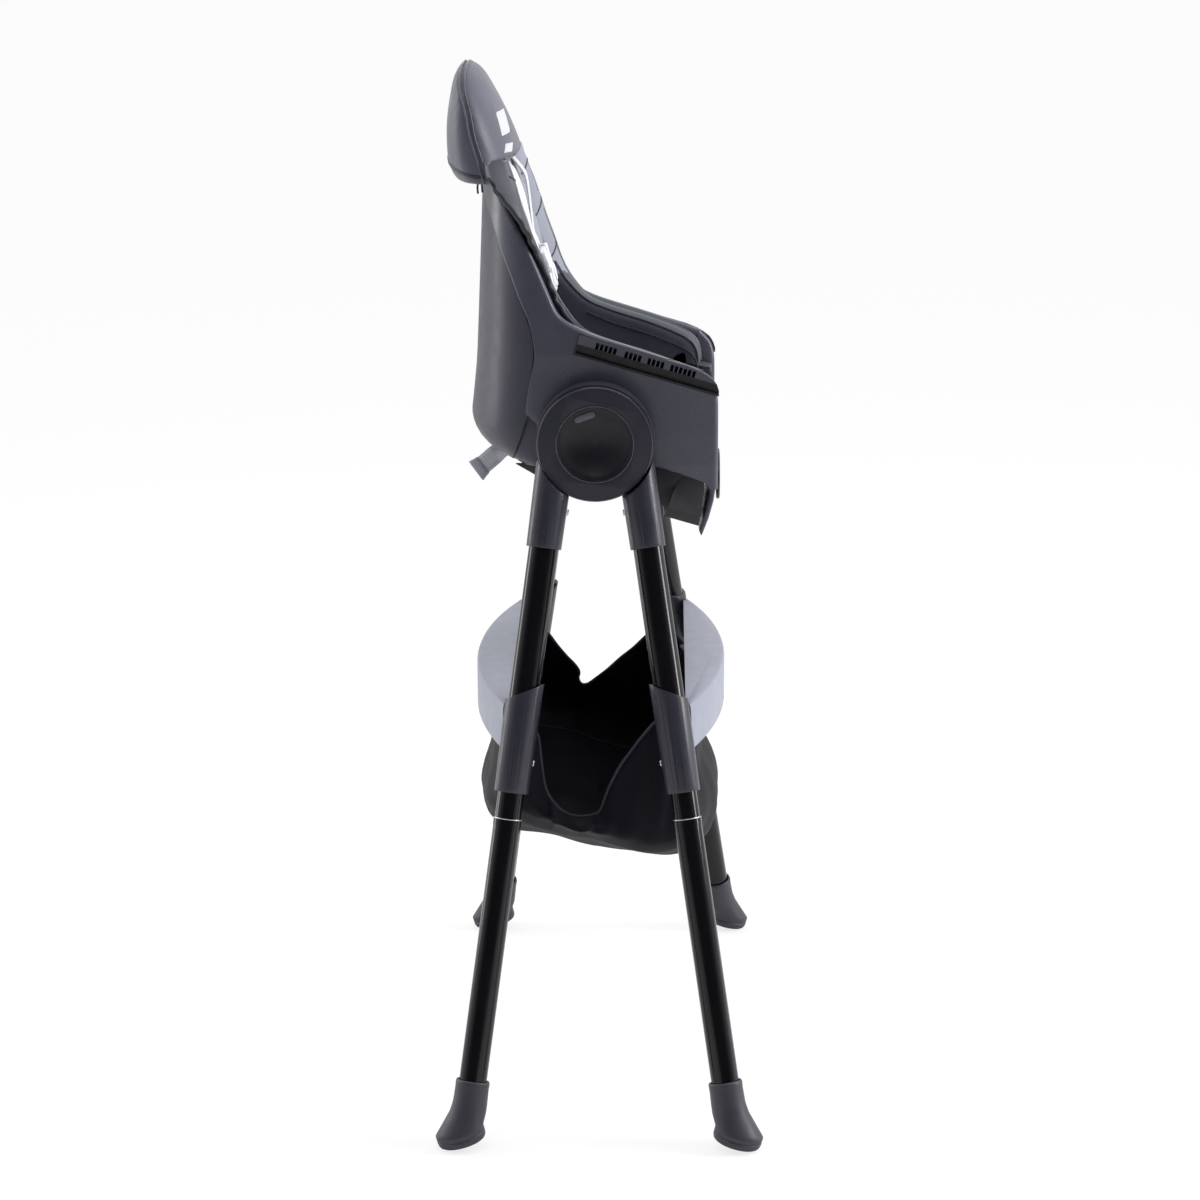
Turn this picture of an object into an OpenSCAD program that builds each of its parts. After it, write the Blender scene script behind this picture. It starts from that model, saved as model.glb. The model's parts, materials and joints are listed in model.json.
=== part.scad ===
// Folding baby high chair, standing by itself with its legs folded together.
// +Z is up, the child faces -Y, X runs across the seat. "left" is the -X side.
// The origin is on the floor, in the middle of the four feet.

/* [Folding frame] */
// Height of the hub axis above the floor
hub_h = 665; // [640:1:700]
// Hub axis behind the middle of the feet
hub_y = 5; // [0:1:10]
// Swing of each leg pair from folded to open, in degrees
open_angle = 15; // [10:1:18]
// Lean of the rear legs from upright, in degrees
rear_lean = 7.5; // [6:0.1:10]
// Lean of the front legs from upright, in degrees
front_lean = 8.3; // [6:0.1:10]
// Sideways splay of every leg, in degrees
splay = 13.8; // [11:0.1:15]
// Leg axis from the hub axis, measured along Y at hub height
leg_offset = 36; // [34:0.5:38]
// Leg axis outside the seat shell at hub height
leg_out = 19; // [17:0.5:22]

/* [Hub] */
// Radius of the hub discs
disc_r = 57.5; // [54:0.5:60]
// Thickness of the outer disc
outer_disc_t = 14; // [12:0.5:16]
// Thickness of the inner disc
inner_disc_t = 13; // [11:0.5:15]
// Radius of the gloss ring cover
ring_r = 55.5; // [52:0.5:57]
// Thickness of the ring cover
ring_t = 5; // [4:0.5:6]
// Radius of the dish lip
dish_r = 37; // [34:0.5:40]
// Depth of the dish
dish_depth = 12; // [9:0.5:13]
// Radius of the hub axle
axle_r = 8; // [6:0.5:10]
// Radial running clearance on the axle
running_fit = 0.05; // [0.02:0.01:0.1]
// Gap between faces that turn past each other
face_gap = 0.3; // [0.2:0.05:0.5]

/* [Release button] */
// Length of the button
button_l = 21; // [18:0.5:23]
// Height of the button
button_w = 6.5; // [5:0.5:7]
// Button distance from the hub axis
button_radius = 28; // [26:0.5:29]
// Inward travel of the button
button_travel = 3; // [2:0.5:3.5]

/* [Legs] */
// Outer radius of the upper tubes
upper_tube_r = 14.5; // [13:0.25:15]
// Outer radius of the lower tubes
lower_tube_r = 13.4; // [12.5:0.1:14]
// Outer radius of the stub tubes
stub_r = 12.7; // [11.8:0.1:13.2]
// Wall of every tube
tube_wall = 1.5; // [1:0.1:2]
// Clearance round a tube in its socket
tube_fit = 0.15; // [0.1:0.05:0.3]
// Wall of the leg sockets
socket_wall = 3; // [2.5:0.25:4.5]
// Distance along the leg to the socket mouth
socket_end = 105; // [100:1:112]
// Distance along the leg to the sleeve top
sleeve_top = 245; // [235:1:255]
// Length of the sleeve
sleeve_l = 98; // [90:1:105]
// Wall of the sleeve at its top
sleeve_wall = 3.5; // [3:0.25:5]
// Wall of the sleeve round the stub at its bottom
sleeve_foot_wall = 3.75; // [3:0.25:5.5]
// Length of bare stub between sleeve and lower tube
stub_bare = 26; // [20:1:32]
// Height of the collar ring on the lower tube
collar_h = 7; // [5:0.5:9]

/* [Feet] */
// Distance from the sole up to the boot's rim
boot_h = 60; // [54:1:66]
// Wall of the boot round the tube
boot_wall = 3; // [2.5:0.25:4]
// Half length of the sole, fore and aft
sole_l = 24; // [21:0.5:26]
// Half width of the sole
sole_w = 20; // [18:0.5:22]

/* [Braces] */
// Top of the brace deck, below the hub axis
brace_drop = 247; // [240:1:255]
// Bow of each cross brace beyond the leg sleeves
brace_bow = 35; // [25:1:42]
// Height of the brace skirt
brace_h = 47; // [42:1:54]
// Wall of the brace
brace_wall = 3; // [2.5:0.25:4]

/* [Basket] */
// Thickness of the basket fabric
fabric_t = 2; // [1.5:0.25:2.5]
// Depth of the basket below the brace skirt
basket_depth = 154; // [120:1:170]
// Half width of the basket
basket_w = 182; // [160:1:186]

/* [Seat shell] */
// Half width of the seat shell
shell_w = 128; // [126:0.5:129]
// Wall of the armrests and pillars
arm_t = 14; // [12:0.5:16]
// Wall of the rear casing
casing_t = 3; // [2.5:0.25:3.5]
// Space between the rear casing and the back wall
back_cavity = 11; // [8:0.5:14]
// Front face of the seat, ahead of the hub axis
front_y = 119; // [115:1:122]
// Rear of the casing, behind the hub axis
rear_y = 127; // [122:1:130]
// Seat pan thickness
pan_t = 4; // [3:0.5:6]
// Underside of the seat pan, below the hub axis
pan_drop = 28; // [24:1:30]

/* [Tray rails] */
// Height of the tray rail insert
rail_h = 20; // [19:0.5:22]
// Thickness of the tray rail insert
rail_t = 7; // [6:0.5:8]
// Height of the tray groove
groove_h = 9; // [8:0.5:10]
// Slope of the rail down to the front, in degrees
rail_slope = 16.4; // [15:0.1:18]

/* [Cover and harness] */
// Thickness of the seat pad
pad_t = 18; // [14:1:22]
// Thickness of the head cover behind the shell
hood_back = 22; // [18:1:26]
// Width of the harness webbing
web_w = 22; // [18:1:25]
// Thickness of the harness webbing
web_t = 2; // [1.5:0.25:2.5]

/* [Hidden] */
$fn = 64;
soft_gap = 0.4;                                    // clearance of a pad or strap
seat_gap = 0.3;                                    // clearance of a seated part
leg_x = shell_w + leg_out;                         // leg axis from the middle plane at hub height
disc_out = leg_x + 16;                             // outer face of the outer disc
disc_mid = disc_out - outer_disc_t;                // inner face of the outer disc
disc_in = disc_mid - face_gap - inner_disc_t;      // inner face of the inner disc
socket_r = upper_tube_r + socket_wall;
sleeve_r = upper_tube_r + sleeve_wall;
sleeve_foot_r = stub_r + sleeve_foot_wall;
sleeve_end = sleeve_top + sleeve_l;
tube_start = 58;                                   // upper tube begins inside its socket
stub_start = sleeve_end - 42;                      // stub begins inside the sleeve
tube_end = stub_start - 6;                         // upper tube ends inside the sleeve
lower_start = sleeve_end + stub_bare;
sole_round = 0.88;                                 // share of the sole inside its rounded rim
sole_shift = 2;                                    // the sole reaches outward of the leg axis
toe_drop = (sole_l * sole_round + sole_shift) * sin(open_angle);
sole_h = toe_drop;                                 // height of the middle of a sole
web_thin = 4;                                      // disc web carried by the axle
dish_wall = 1.6;
button_tilt = 20;                                  // the button sits left of straight up
arc_steps = 14;

// ---- helpers -------------------------------------------------------------

function lean(row) = row > 0 ? rear_lean : front_lean;
function leg_dir(side, row) = [side * cos(lean(row)) * sin(splay), row * sin(lean(row)),
                               -cos(lean(row)) * cos(splay)];
function leg_point(side, row, d) = [side * leg_x, row * leg_offset, hub_h] + d * leg_dir(side, row);
// distance along a leg at which its axis is at height z
function leg_at(row, z) = (hub_h - z) / (cos(lean(row)) * cos(splay));

// A leg's own frame: its axis runs down local -Z from hub height.
module on_leg(side, row, d = 0) {
  translate([side * leg_x, row * leg_offset, hub_h])
    rotate([row * lean(row), -side * splay, 0])
      translate([0, 0, -d])
        children();
}

// Everything that belongs to the seat is drawn about the hub axis.
module about_hub() {
  translate([0, 0, hub_h])
    children();
}

// Across X, from the inner face to the outer face of a hub part.
module across(side, from_x, to_x) {
  translate([side * from_x, 0, 0])
    rotate([0, side * 90, 0])
      linear_extrude(to_x - from_x)
        children();
}

// A closed skin over stacked rings of equal length, listed from the bottom up.
module skin(rings) {
  n = len(rings[0]);
  m = len(rings);
  points = [for (r = rings) each r];
  sides = [for (i = [0:m - 2], j = [0:n - 1])
    let (k = (j + 1) % n)
      each [[i * n + j, (i + 1) * n + j, (i + 1) * n + k], [i * n + j, (i + 1) * n + k, i * n + k]]];
  bottom = [[for (j = [0:n - 1]) j]];
  top = [[for (j = [0:n - 1]) (m - 1) * n + n - 1 - j]];
  polyhedron(points, concat(sides, bottom, top), convexity = 6);
}

// A strip of webbing along points [y, z], centred on x.
module ribbon(path, w, t, x = 0) {
  n = len(path);
  normal = [for (i = [0:n - 1])
    let (a = path[max(i - 1, 0)], b = path[min(i + 1, n - 1)], d = (b - a) / norm(b - a)) [-d[1], d[0]]];
  outline = concat([for (i = [0:n - 1]) path[i] + normal[i] * t / 2],
                   [for (i = [n - 1:-1:0]) path[i] - normal[i] * t / 2]);
  translate([x - w / 2, 0, 0])
    rotate([90, 0, 90])
      linear_extrude(w)
        polygon(outline);
}

module stadium(l, w) {
  square([l - w, w], center = true);
  for (s = [-1, 1])
    translate([s * (l - w) / 2, 0])
      circle(d = w, $fn = 32);
}

// A prism across X over an outline in Y and height.
module side_prism(outline, half = 200) {
  translate([-half, 0, 0])
    rotate([90, 0, 90])
      linear_extrude(2 * half)
        polygon(outline);
}

// ---- seat shell ----------------------------------------------------------
// Heights of the seat are measured from the hub axis.

shell_top = 240;
shell_low = -56;
bottom_round = 40;
casing_low = -34;                                  // underside of the rear casing
back_wall = casing_t + back_cavity + 3;            // inner face of the back wall from the rear

function back_y(z, inset) =
  let (foot = rear_y - 47, reach = rear_y - foot)
    z < 8 ? foot + reach * sqrt(max(0.02, 1 - pow((8 - z) / bottom_round, 2))) - inset
          : rear_y - inset - 11 * pow((z - 8) / (shell_top - 8), 0.8);
function half_w(z) = shell_w - lookup(z, [[-56, 5], [-30, 1], [0, 0], [80, 0], [120, 4], [180, 13],
                                          [240, 23], [300, 38], [350, 60]]);
// The underside tucks in towards the rear.
function tuck(z) = lookup(z, [[-56, 26], [-34, 16], [-26, 9], [-12, 2.5], [8, 0]]);
// Half plan outline: straight side, then a rounded quarter to the middle of the back.
function plan(z, side_inset, back_inset, front) =
  let (w = half_w(z) - side_inset, wr = w - tuck(z), b = back_y(z, back_inset), s = min(52, b - 6))
    [for (p = concat([[w, -front], [w, -20]], [for (i = [0:arc_steps]) let (a = 90 * i / arc_steps)
      [wr * pow(cos(a), 0.85), s + (b - s) * pow(sin(a), 0.9)]])) [p[0], p[1], z]];
function plan_ring(z, si, bi, front) =
  let (h = plan(z, si, bi, front))
    concat(h, [for (i = [len(h) - 2:-1:0]) [-h[i][0], h[i][1], h[i][2]]]);
// Nested walls share these levels, so the clearance between them stays even.
loft_step = 12;
loft_steps = ceil((shell_top - shell_low + 2) / loft_step);
module plan_loft(si, bi, front) {
  skin([for (i = [0:loft_steps]) plan_ring(shell_low - 1 + i * loft_step, si, bi, front)]);
}
// Everything between two heights.
module layer(low, top) {
  translate([-250, -250, low])
    cube([500, 500, top - low]);
}

shell_under = casing_low + casing_t + 1;           // lower edge of the side panels behind the front
// Side outline of the arms, pillars and lower edge.
edge_profile = [[40, 0], [53, 6], [65, 19], [83, 72], [97, 116], [106, 137], [113, 149], [122, 157],
                [142, 166], [165, 176], [187, 186.5], [210, 199], [233, 213], [shell_top, 217]];
low_profile = [[-front_y + 1, -54], [-front_y + 8, -54], [-front_y + 13, -46], [-82, -38],
               [-58, shell_under], [180, shell_under]];
function shell_profile() = concat(low_profile, [[180, shell_top]],
  [for (i = [len(edge_profile) - 1:-1:0]) [edge_profile[i][1] - front_y, edge_profile[i][0]]],
  [[-front_y - 1, 38], [-front_y - 1, -54]]);
casing_fore = 20;                                  // the casing reaches this far forward under the side panels
// The seam where the rear casing meets the side panels.
seam = [[-60, casing_fore], [10, casing_fore], [15, 58], [17, 64], [20, 67], [26, 68], [50, 64.5], [74, 59.5],
        [88, 60], [109, 64], [132, 73.5], [156, 83], [193, 98], [shell_top + 2, 113.5]];
function seam_region(shift) = concat([for (s = seam) [s[1] + shift, s[0] - shift]],
  [[220, shell_top + 2], [220, -60]]);

module seat_shell() color([0.17, 0.18, 0.21]) about_hub() {
  difference() {
    intersection() {
      plan_loft(0, 0, front_y);
      side_prism(shell_profile());
    }
    plan_loft(arm_t, back_wall, front_y + 20);
    // room for the rear casing
    difference() {
      side_prism(seam_region(0));
      plan_loft(casing_t + soft_gap, casing_t + back_cavity, front_y);
    }
    // pockets of the tray rails and bores of the hub axles
    for (side = [-1, 1]) {
      rail_place(side, seat_gap)
        rail_outline(seat_gap);
      across(side, shell_w - arm_t - 1, shell_w + 1)
        circle(r = axle_r);
      // shallow recess round the hub discs
      across(side, shell_w - recess_d, shell_w + 5)
        circle(r = disc_r + 3, $fn = 96);
    }
  }
  head_core();
}

recess_d = 1.6;                                    // depth of the side recess behind a hub
// Tongue of the shell that the head cover slips over.
core_w = 52;                                       // half width of the tongue
core_h = 78;                                       // height of the tongue above the shell
module head_core(grow = 0) {
  translate([0, back_y(shell_top, 0) - casing_t - back_cavity + 3 + grow, shell_top - 12])
    rotate([90, 0, 0])
      linear_extrude(8 + 2 * grow)
        union() {
          translate([-core_w - grow, 0])
            square([2 * (core_w + grow), core_h - 24]);
          translate([0, core_h - 24])
            scale([1, 0.55])
              circle(r = core_w + grow);
        }
}

module rear_casing() color([0.15, 0.16, 0.19]) about_hub() {
  intersection() {
    difference() {
      plan_loft(0, 0, front_y);
      intersection() {
        plan_loft(casing_t, casing_t, front_y + 20);
        layer(casing_low + casing_t, shell_top + 20);
      }
    }
    side_prism(seam_region(soft_gap));
    layer(casing_low, shell_top);
  }
}

module seat_pan() color([0.12, 0.12, 0.14]) about_hub() {
  intersection() {
    plan_loft(arm_t + seat_gap, back_wall + seat_gap, front_y - apron_t);
    layer(-pan_drop, -pan_drop + pan_t);
  }
}

apron_t = 12;                                      // depth of the panel in front of the seat
apron_top = 12;                                    // its top edge, above the hub axis
module front_apron() color([0.17, 0.18, 0.21]) about_hub() {
  // upright panel between the armrests
  intersection() {
    plan_loft(arm_t + seat_gap, back_wall, front_y);
    translate([-200, -front_y, -54])
      cube([400, apron_t - seat_gap, 54 + apron_top]);
  }
  // tongue that curves back under the seat
  side_prism([[-front_y, -54], [-front_y + 0.5, -66], [-front_y + 3, -82], [-front_y + 8, -100],
              [-front_y + 15, -118], [-front_y + 18, -110], [-front_y + 12, -92], [-front_y + 8.5, -76],
              [-front_y + 8, -54]], 52);
}

// Box under the seat that the footrest slides out of, with a lower tray and a rib on each side.
box_half = 89;
box_top = -pan_drop - seat_gap;
box_nose = -front_y + 12.6;                        // front face, behind the apron
box_slope = [[-52, -74], [-103.5, -89.3]];         // lower edge of its sides, [y, height]
module footrest_box() color([0.12, 0.12, 0.14]) about_hub() {
  difference() {
    side_prism([[box_slope[0][0], box_top], box_slope[0], box_slope[1], [box_nose, -60], [box_nose, box_top]],
               box_half);
    side_prism([[box_slope[0][0] - 3, box_top + 1], [box_slope[0][0] - 3, -66], [box_slope[1][0] + 3, -81],
                [box_nose + 3, -60], [box_nose + 3, box_top + 1]], box_half - 2.5);
  }
  side_prism([[-66, -77], [-67, -89.6], [-100.9, -99.5], [-103.2, -87]], box_half - 5);
  side_prism([[-77.6, -60], [-75.8, -60], [-65.6, -90], [-67.4, -90]], box_half + 1);
}

boss_l = 70;
boss_h = 50;
module footrest_boss() color([0.08, 0.08, 0.1]) about_hub()
  translate([0, -front_y - seat_gap, -boss_h / 2 - 39])
    rotate([90, 0, 0])
      linear_extrude(3.4)
        scale([1, boss_h / boss_l])
          circle(d = boss_l, $fn = 48);

rib_x = 92;                                        // ribs from the middle plane
rib_t = 5;
rib_top = -pan_drop - seat_gap;
module under_rib() color([0.1, 0.1, 0.12]) about_hub()
  for (side = [-1, 1])
    side_rib(side);

module side_rib(side) {
  translate([side * rib_x, 0, 0])
    side_prism([[-front_y + 14, rib_top], [casing_fore - 3, rib_top], [casing_fore - 3, casing_low - seat_gap],
                [80, casing_low - seat_gap], [60, -46], [-20, -50], [-46, -50], [-50, -36], [-front_y + 14, -36]],
               rib_t / 2);
}

module hub_axle(side) color([0.6, 0.6, 0.62]) about_hub() {
  across(side, shell_w - arm_t, disc_mid + web_thin + 1)
    circle(r = axle_r);
}

// ---- tray rails ----------------------------------------------------------

rail_l = 148;
rail_mid = [-52.9, 69.5];                               // middle of the rail, [y, height]
tooth_pitch = 4.4;
tooth_w = 3.2;
tooth_h = 6.4;
tooth_drop = 3;                                    // windows below the rail's upper edge
rail_lip = 1.5;                                    // wall of the insert round its groove
tooth_runs = [[-55.9, 5], [-26.7, 4], [-3.7, 4], [19.2, 6]]; // start along the rail from its middle, count

module rail_place(side, grow = 0) {
  translate([side * (shell_w - rail_t - grow), rail_mid[0], rail_mid[1]])
    rotate([90, 0, 90])
      mirror([0, 0, side > 0 ? 0 : 1])
        linear_extrude(rail_t + grow + 1)
          rotate(rail_slope)
            children();
}

module rail_outline(grow) {
  square([rail_l + 2 * grow, rail_h + 2 * grow], center = true);
}

// Side outline that the rail's front corner is rounded to.
rail_clip = [[60, 130], [60, -20], [-front_y - 0.6, -20], [-front_y - 0.6, 44], [-front_y + 1.4, 50],
             [-front_y + 5.5, 56], [-front_y + 12, 61], [-100, 64.8], [-86, 70.6], [-75, 74.6], [-45, 84]];

module tray_rail(side) color([0.05, 0.05, 0.06]) about_hub() {
  difference() {
    intersection() {
      rail_place(side)
        rail_outline(0);
      side_prism(rail_clip);
      translate([-shell_w, -200, -200])
        cube([2 * shell_w, 400, 400]);
    }
    // the groove that the tray slides in
    translate([side * (shell_w - rail_t + 2), rail_mid[0], rail_mid[1]])
      rotate([90, 0, 90])
        mirror([0, 0, side > 0 ? 0 : 1])
          linear_extrude(rail_t)
            rotate(rail_slope)
              translate([-rail_l, -rail_h / 2 + rail_lip])
                square([2 * rail_l - rail_l / 2 - rail_lip, groove_h]);
    // windows of the tray's stops
    translate([side * (shell_w - rail_t - 1), rail_mid[0], rail_mid[1]])
      rotate([90, 0, 90])
        mirror([0, 0, side > 0 ? 0 : 1])
          linear_extrude(rail_t + 2)
            rotate(rail_slope)
              for (run = tooth_runs, i = [0:run[1] - 1])
                translate([-run[0] - i * tooth_pitch - tooth_w, rail_h / 2 - tooth_h - tooth_drop])
                  square([tooth_w, tooth_h]);
  }
}

// ---- soft cover ----------------------------------------------------------

hood_low = shell_top + soft_gap;
hood_top = shell_top + 111;
hood_w = 106;                                      // half width at its foot
// Head cover: rounded slab over the top of the shell.
function hood_ring(z) =
  let (k = (z - hood_low) / (hood_top - hood_low),
       w = hood_w * sqrt(1 - pow(k, 3.2)),
       back = rear_y - 11 + hood_back + lookup(k, [[0, 5], [0.25, 10], [0.45, 11], [0.7, 8], [0.92, 0], [1, -8]]),
       front = lookup(k, [[0, 70], [0.17, 77], [0.33, 84], [0.5, 94], [0.75, 110], [0.92, 118], [1, 124]]),
       mid = (back + front) / 2, h = (back - front) / 2)
    [for (i = [0:35]) let (a = 10 * i)
      [w * sign(cos(a)) * pow(abs(cos(a)), 0.6), mid + h * sign(sin(a)) * pow(abs(sin(a)), 0.6), z]];

module head_cover() color([0.16, 0.17, 0.2]) about_hub() {
  difference() {
    skin([for (k = [0, 0.1, 0.2, 0.32, 0.44, 0.56, 0.68, 0.78, 0.86, 0.92, 0.96, 0.985, 0.998])
      hood_ring(hood_low + (hood_top - hood_low) * k)]);
    head_core(soft_gap);
  }
}

bolster_t = 24;                                    // thickness of the side rolls
// Front face of the back pad at height z.
function pad_front(z) = lookup(z, [[-20, 36], [40, 42], [125, 50], [185, 66], [shell_top, 84]]);

module back_pad() color([0.3, 0.32, 0.36]) about_hub() {
  low = -pan_drop + pan_t + soft_gap;
  difference() {
    intersection() {
      plan_loft(arm_t + bolster_t, back_wall + soft_gap, front_y);
      layer(low, shell_top - 12 - soft_gap);
    }
    side_prism(concat([[-200, low - 1]],
      [for (z = [low - 1:20:shell_top + 20]) [pad_front(z), z]], [[-200, shell_top + 20]]));
  }
}

module seat_pad() color([0.16, 0.17, 0.2]) about_hub() {
  low = -pan_drop + pan_t + soft_gap;
  w = shell_w - arm_t - soft_gap - 8;
  intersection() {
    translate([-w, -front_y + 12 + soft_gap, low])
      cube([2 * w, front_y - 12 + pad_front(low) - 2 * soft_gap, pad_t]);
    side_prism([[-front_y + 12, low - 1], [-front_y + 12, low + pad_t - 8], [-front_y + 20, low + pad_t + 1],
                [80, low + pad_t + 1], [80, low - 1]]);
  }
}

// Padded roll along the inner side of a pillar and armrest.
module bolster(side) color([0.13, 0.14, 0.17]) about_hub()
  mirror([side > 0 ? 1 : 0, 0, 0])
    left_bolster();

module left_bolster() {
  low = -pan_drop + pan_t + pad_t + 2 * soft_gap;
  intersection() {
    difference() {
      plan_loft(arm_t + soft_gap, back_wall + soft_gap, front_y - apron_t - 2);
      plan_loft(arm_t + bolster_t - soft_gap, 0, front_y + 5);
    }
    layer(low, shell_top);
    side_prism([[-front_y + 16, low], [-front_y + 16, 40], [-front_y + 22, 60], [-50, 78], [-5, 92],
                [18, 104], [30, 116], [40, 140], [54, 184], [64, 210], [76, shell_top + 2],
                [190, shell_top + 2], [190, low]]);
    translate([-201, -200, -200])
      cube([200, 400, 600]);
  }
}

// ---- harness -------------------------------------------------------------

buckle_t = 12;
buckle_y = pad_front(142) - soft_gap - web_t - seat_gap - buckle_t / 2 - 3.25;
buckle_z = 142;
module shoulder_strap(side) color([0.85, 0.86, 0.88]) about_hub() {
  lift = web_t / 2 + soft_gap;
  path = [for (z = [228:-9:165]) [pad_front(z) - lift - 3 * sin((228 - z) * 180 / 63), z]];
  ribbon(path, web_w, web_t, side * 26);
}

module harness_buckle() color([0.9, 0.91, 0.92]) about_hub() {
  translate([0, buckle_y, buckle_z])
    rotate([90 - 10, 0, 0])
      difference() {
        linear_extrude(buckle_t, center = true)
          union() {
            stadium(74, 22);
            rotate(90)
              stadium(44, 28);
          }
        translate([0, 0, 5])
          linear_extrude(4)
            circle(r = 8);
      }
}

waist_in = 36;
waist_out = shell_w - arm_t - bolster_t - 7;
module waist_straps() color([0.85, 0.86, 0.88]) about_hub() {
  for (side = [-1, 1])
    translate([side > 0 ? waist_in : -waist_out, pad_front(117) - soft_gap - web_t, 117])
      cube([waist_out - waist_in, web_t, 20]);
}

module crotch_strap() color([0.85, 0.86, 0.88]) about_hub() {
  top = -pan_drop + pan_t + soft_gap + pad_t + soft_gap;
  path = [[pad_front(108) - 4, 108], [pad_front(80) - 8, 80], [pad_front(50) - 10, 50],
          [pad_front(20) - 14, 20], [pad_front(0) - 24, top + seat_gap]];
  ribbon(path, web_w, web_t, 0);
}

// The tail hangs out under the rear casing; its adjuster grips the free end.
tail_low = casing_low - web_t / 2 - soft_gap;
tail_path = [[66, tail_low], [80, tail_low - 1], [92, tail_low - 6], [103, tail_low - 14], [114, tail_low - 23]];
module strap_tail() color([0.75, 0.76, 0.78]) about_hub() {
  ribbon(tail_path, web_w, web_t, 0);
}

module tail_adjuster() color([0.7, 0.71, 0.73]) about_hub() {
  end = tail_path[4];
  translate([0, end[0], end[1]])
    rotate([-39.3, 0, 0])
      difference() {
        translate([0, 4, 0])
          cube([web_w + 8, 20, 7], center = true);
        translate([0, -5, 0])
          cube([web_w + 2 * seat_gap, 10.6, web_t + 2 * seat_gap], center = true);
      }
}

// ---- hubs ----------------------------------------------------------------

module disc_bore(side) {
  across(side, disc_in - 20, disc_out + 20)
    circle(r = axle_r + running_fit);
}

// A leg's socket, from under its disc down to its mouth.
arm_start = 22;
function socket_radius(d) = socket_r - 0.4 + (socket_end - d) / (socket_end - arm_start);
module socket_arm(side, row) {
  on_leg(side, row, socket_end)
    cylinder(r1 = socket_radius(socket_end), r2 = socket_radius(arm_start), h = socket_end - arm_start);
}

module socket_bore(side, row) {
  on_leg(side, row, socket_end + 1)
    cylinder(r = upper_tube_r + tube_fit, h = socket_end + 1 - tube_start + 1);
}

module rear_socket(side) color([0.16, 0.17, 0.19]) difference() {
  union() {
    about_hub()
      across(side, disc_mid, disc_out)
        circle(r = disc_r, $fn = 96);
    difference() {
      socket_arm(side, 1);
      about_hub() {
        // keeps the arm off the inner disc and the seat side
        across(side, 60, disc_mid)
          circle(r = disc_r + 1, $fn = 96);
        across(side, disc_out, disc_out + 60)
          circle(r = disc_r - 1, $fn = 96);
      }
    }
  }
  about_hub()
    across(side, disc_mid + web_thin, disc_out + 1)
      circle(r = disc_r - 10);
  about_hub()
    disc_bore(side);
  socket_bore(side, 1);
}

module front_socket(side) color([0.16, 0.17, 0.19]) difference() {
  union() {
    about_hub()
      across(side, disc_in, disc_in + inner_disc_t)
        circle(r = disc_r - 1, $fn = 96);
    difference() {
      socket_arm(side, -1);
      about_hub() {
        // keeps the arm off the outer disc
        across(side, disc_mid - face_gap, disc_out + 60)
          circle(r = disc_r + 1, $fn = 96);
        // and off the seat side
        across(side, 60, disc_in)
          circle(r = disc_r + 40, $fn = 96);
      }
    }
  }
  about_hub()
    disc_bore(side);
  socket_bore(side, -1);
}

module hub_ring(side) color([0.03, 0.03, 0.035]) about_hub()
  across(side, disc_out, disc_out + ring_t)
    difference() {
      circle(r = ring_r, $fn = 96);
      circle(r = dish_r + seat_gap, $fn = 96);
    }

function dish_x(r) = disc_out + ring_t - dish_depth * (1 - pow(r / (dish_r - 3), 2));
module hub_dish(side) color([0.02, 0.02, 0.025]) about_hub() {
  inner = [for (r = [0:3:dish_r - 3]) [r, dish_x(r)]];
  difference() {
    rotate([0, side * 90, 0])
      rotate_extrude($fn = 96)
        polygon(concat(inner, [[dish_r, disc_out + ring_t]], [[dish_r, disc_out + ring_t - 3]],
          [for (i = [len(inner) - 1:-1:0]) inner[i] - [0, dish_wall]]));
    button_place(side, 0, 60)
      stadium(button_l + 2 * seat_gap, button_w + 2 * seat_gap);
  }
}

module button_place(side, from_x, h) {
  translate([side * (disc_mid + from_x), button_radius * sin(button_tilt), button_radius * cos(button_tilt)])
    rotate([90, 0, 90])
      mirror([0, 0, side > 0 ? 0 : 1])
        linear_extrude(h)
          rotate(-button_tilt)
            children();
}

module release_button(side) color([0.2, 0.21, 0.23]) about_hub() {
  flange = web_thin + button_travel + 0.6;
  button_place(side, flange, dish_x(button_radius) + 2.6 - disc_mid - flange)
    stadium(button_l, button_w);
  button_place(side, flange, 1.2)
    stadium(button_l + 3, button_w + 3);
}

// ---- legs ----------------------------------------------------------------

module tube(r, l) {
  difference() {
    cylinder(r = r, h = l);
    translate([0, 0, -1])
      cylinder(r = r - tube_wall, h = l + 2);
  }
}

module upper_tube(side, row) color([0.03, 0.03, 0.035])
  on_leg(side, row, tube_end)
    tube(upper_tube_r, tube_end - tube_start);

// Height by which the sleeve's inner side rises above its middle.
sleeve_tilt = 28;
sleeve_rise = 11;
function sleeve_radius(up) = sleeve_foot_r + (sleeve_r - sleeve_foot_r) * up / (sleeve_l + sleeve_rise);
module sleeve(side, row) color([0.16, 0.17, 0.19])
  difference() {
    on_leg(side, row, sleeve_end)
      cylinder(r1 = sleeve_foot_r, r2 = sleeve_r, h = sleeve_l + sleeve_rise);
    on_leg(side, row, sleeve_top)
      rotate([-row * sleeve_tilt, 0, 0])
        translate([-50, -50, 0])
          cube([100, 100, 60]);
    on_leg(side, row, tube_end)
      cylinder(r = upper_tube_r + tube_fit, h = 80);
    on_leg(side, row, sleeve_end + 1)
      cylinder(r = stub_r + tube_fit, h = sleeve_end - stub_start + 1);
  }

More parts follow.
